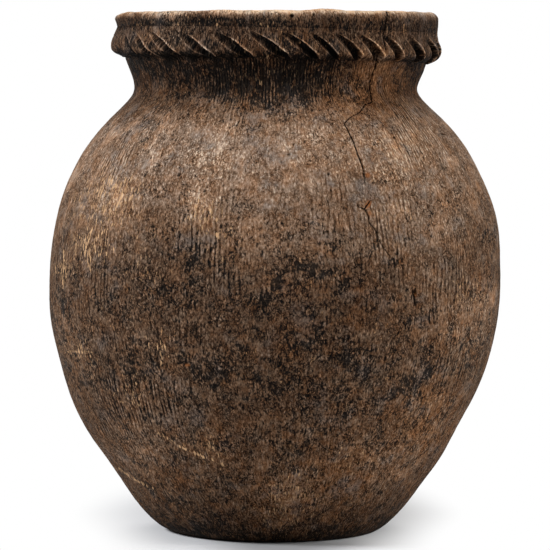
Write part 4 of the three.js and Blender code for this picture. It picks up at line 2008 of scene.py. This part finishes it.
@dataclass(frozen=True)
class SoftBox:
    """A square soft box, with its measures in metres and its power in watts."""

    name: str
    place: Triple
    aim: Triple
    size: float
    power: float
    tint: Triple = (1.0, 1.0, 1.0)

    def hang(self) -> None:
        """Hangs the lamp, out of the camera's sight."""
        data = bpy.data.lights.new(self.name, "AREA")
        data.size = self.size
        data.energy = self.power
        data.color = self.tint
        lamp = bpy.data.objects.new(self.name, data)
        lamp.location = self.place
        lamp.rotation_euler = (Vector(self.aim) - Vector(self.place)).to_track_quat("-Z", "Y").to_euler()
        bpy.context.scene.collection.objects.link(lamp)
        lamp.visible_camera = False


class Studio:
    """The floor, the light and the camera."""

    BOXES = (
        SoftBox("key_box", (-1.75, -0.75, 1.35), (0.0, 0.0, 0.22), 0.5, 58, (0.98, 1.0, 1.045)),
        SoftBox("side_box", (1.75, -0.75, 0.95), (0.0, 0.0, 0.22), 1.0, 37),
        SoftBox("top_box", (0.0, -0.3, 1.8), (0.0, 0.0, 0.3), 0.8, 5),
        SoftBox("back_box", (0.2, 1.8, 1.2), (0.0, 0.0, 0.22), 1.0, 22),
    )
    WHITE = (1.0, 1.0, 1.0, 1.0)
    ROOM_LIGHT = 0.08  # strength of the even light on the jar
    FLOOR_REACH = 6.0
    FLOOR_GREY = 0.7
    CLEAR = (0.078, 0.150)  # distances over which the shadow fades to clear white
    SHADOW_SHIFT = (0.006, 0.0, 0.0)
    SHADOW_SHAPE = (1.0, 0.32, 1.0)  # it fades slower towards the back than to the sides
    FADE_LEAN = (-0.1, 0.12, 0.020, -0.013)  # and sooner in front of the jar than behind it
    PAINTED_SHADOW_PLACE = (0.006, -0.095, 0.0)  # middle of the painted shadow on the floor in front of the foot
    PAINTED_SHADOW_FADE = (0.2, 1.1)
    PAINTED_SHADOW_REACH = 0.07
    PAINTED_SHADOW_GREY = 0.29

    def __init__(self, view: PhotoView) -> None:
        """Takes the photograph's camera."""
        self.view = view

    @staticmethod
    def _seen(bench: NodeBench) -> Socket:
        """Tells the rays that show the background from those that light the jar.

        Args:
            bench: The bench of the floor's or the world's nodes.

        Returns:
            1 for rays from the camera, in gloss or through glass.
        """
        path = bench.add("ShaderNodeLightPath").outputs
        seen = bench.math("MAXIMUM", path["Is Camera Ray"], path["Is Glossy Ray"])
        return bench.math("MAXIMUM", seen, path["Is Transmission Ray"])

    def _floor_white(self) -> bpy.types.Material:
        """Makes the floor's finish.

        Returns:
            A pale material that is clear white away from the jar, with a painted shadow in front of the foot.
        """
        material = bpy.data.materials.new("studio_floor_white")
        material.use_nodes = True
        bench = NodeBench(material.node_tree)
        material.node_tree.nodes.clear()
        place = bench.add("ShaderNodeTexCoord").outputs["Object"]
        # painted shadow: the floor's grey darkens towards the front of the foot
        away = bench.math("DIVIDE", bench.distance(place, self.PAINTED_SHADOW_PLACE), self.PAINTED_SHADOW_REACH)
        floor_grey_and_painted_shadow = bench.eased(away, *self.PAINTED_SHADOW_FADE, self.PAINTED_SHADOW_GREY, self.FLOOR_GREY)
        flat = bench.vector("MULTIPLY_ADD", place, self.SHADOW_SHAPE, self.SHADOW_SHIFT)
        lean = bench.eased(bench.parted(place)[1], *self.FADE_LEAN)
        far = bench.math("ADD", bench.distance(flat, (0.0, 0.0, 0.0)), lean)
        clear = bench.product(self._seen(bench), bench.eased(far, *self.CLEAR))
        shaded = bench.add("ShaderNodeBsdfDiffuse", {"Color": floor_grey_and_painted_shadow}).outputs[0]
        glow = bench.add("ShaderNodeEmission", {"Color": self.WHITE, "Strength": 1.0}).outputs[0]
        both = bench.add("ShaderNodeMixShader", {0: clear, 1: shaded, 2: glow}).outputs[0]
        bench.add("ShaderNodeOutputMaterial", {"Surface": both})
        return material

    def floor(self) -> None:
        """Lays a pale floor that keeps the jar's shadow, with a painted shadow in front of its foot."""
        mesh = bpy.data.meshes.new("studio_floor")
        reach = self.FLOOR_REACH
        corners = [(-reach, -reach, 0), (reach, -reach, 0), (reach, reach, 0), (-reach, reach, 0)]
        mesh.from_pydata(corners, [], [(0, 1, 2, 3)])
        mesh.materials.append(self._floor_white())
        floor = bpy.data.objects.new("studio_floor", mesh)
        bpy.context.scene.collection.objects.link(floor)

    def world(self) -> None:
        """Fills the room with even light and a white background."""
        world = bpy.data.worlds.new("studio_world")
        world.use_nodes = True
        bpy.context.scene.world = world
        bench = NodeBench(world.node_tree)
        background = next(n for n in world.node_tree.nodes if n.type == "BACKGROUND")
        bench.feed(background.inputs["Color"], self.WHITE)
        bench.feed(background.inputs["Strength"], bench.mixed(self._seen(bench), self.ROOM_LIGHT, 1.0))

    def set_up(self) -> None:
        """Sets up the whole studio."""
        self.floor()
        self.world()
        for box in self.BOXES:
            box.hang()
        self.view.place_camera()
        bpy.context.scene.view_settings.view_transform = "Standard"
        log.info("studio: floor, %d soft boxes, camera", len(self.BOXES))


ORDER = (
    "base_slab",
    "heel_course",
    "foot_course",
    "lower_wall_course",
    "lower_belly_course",
    "upper_belly_course",
    "lower_shoulder_course",
    "upper_shoulder_course",
    "neck_collar",
    "rim_lip",
)


def clay_pieces() -> list[ClayPiece]:
    """Lists the pieces of the jar.

    Returns:
        The pieces from the base up, each with its slot in the record.
    """
    slots = {part["node"]: part["material_slot"] for part in frame["record"]["subparts"]}
    courses = [
        WallCourse(node, slots[node], below=below, above=above)
        for below, node, above in zip(ORDER, ORDER[1:], ORDER[2:])
    ]
    return [
        BaseSlab("base_slab", slots["base_slab"]),
        *courses,
        RimLip("rim_lip", slots["rim_lip"]),
        RopeBand("rope_band", slots["rope_band"]),
    ]


def main() -> None:
    """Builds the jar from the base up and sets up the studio."""
    logging.basicConfig(level=logging.INFO, format="%(name)s: %(message)s")
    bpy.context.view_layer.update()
    view = PhotoView()
    outline = JarOutline()
    shader = ClayShader()
    shop = Workshop(
        outline=outline,
        turning=TurnedWall(),
        twisting=RopeTwist(),
        working=WorkedSkin(),
        weathering=Weathering(view, outline.outside()),
        combed=COMBED_CLAY.material(shader),
        wiped=WIPED_CLAY.material(shader),
        pressed=PRESSED_CLAY.material(shader),
    )
    for piece in clay_pieces():
        piece.dress(piece.build(shop))
    Studio(view).set_up()


if __name__ == "__main__":
    main()
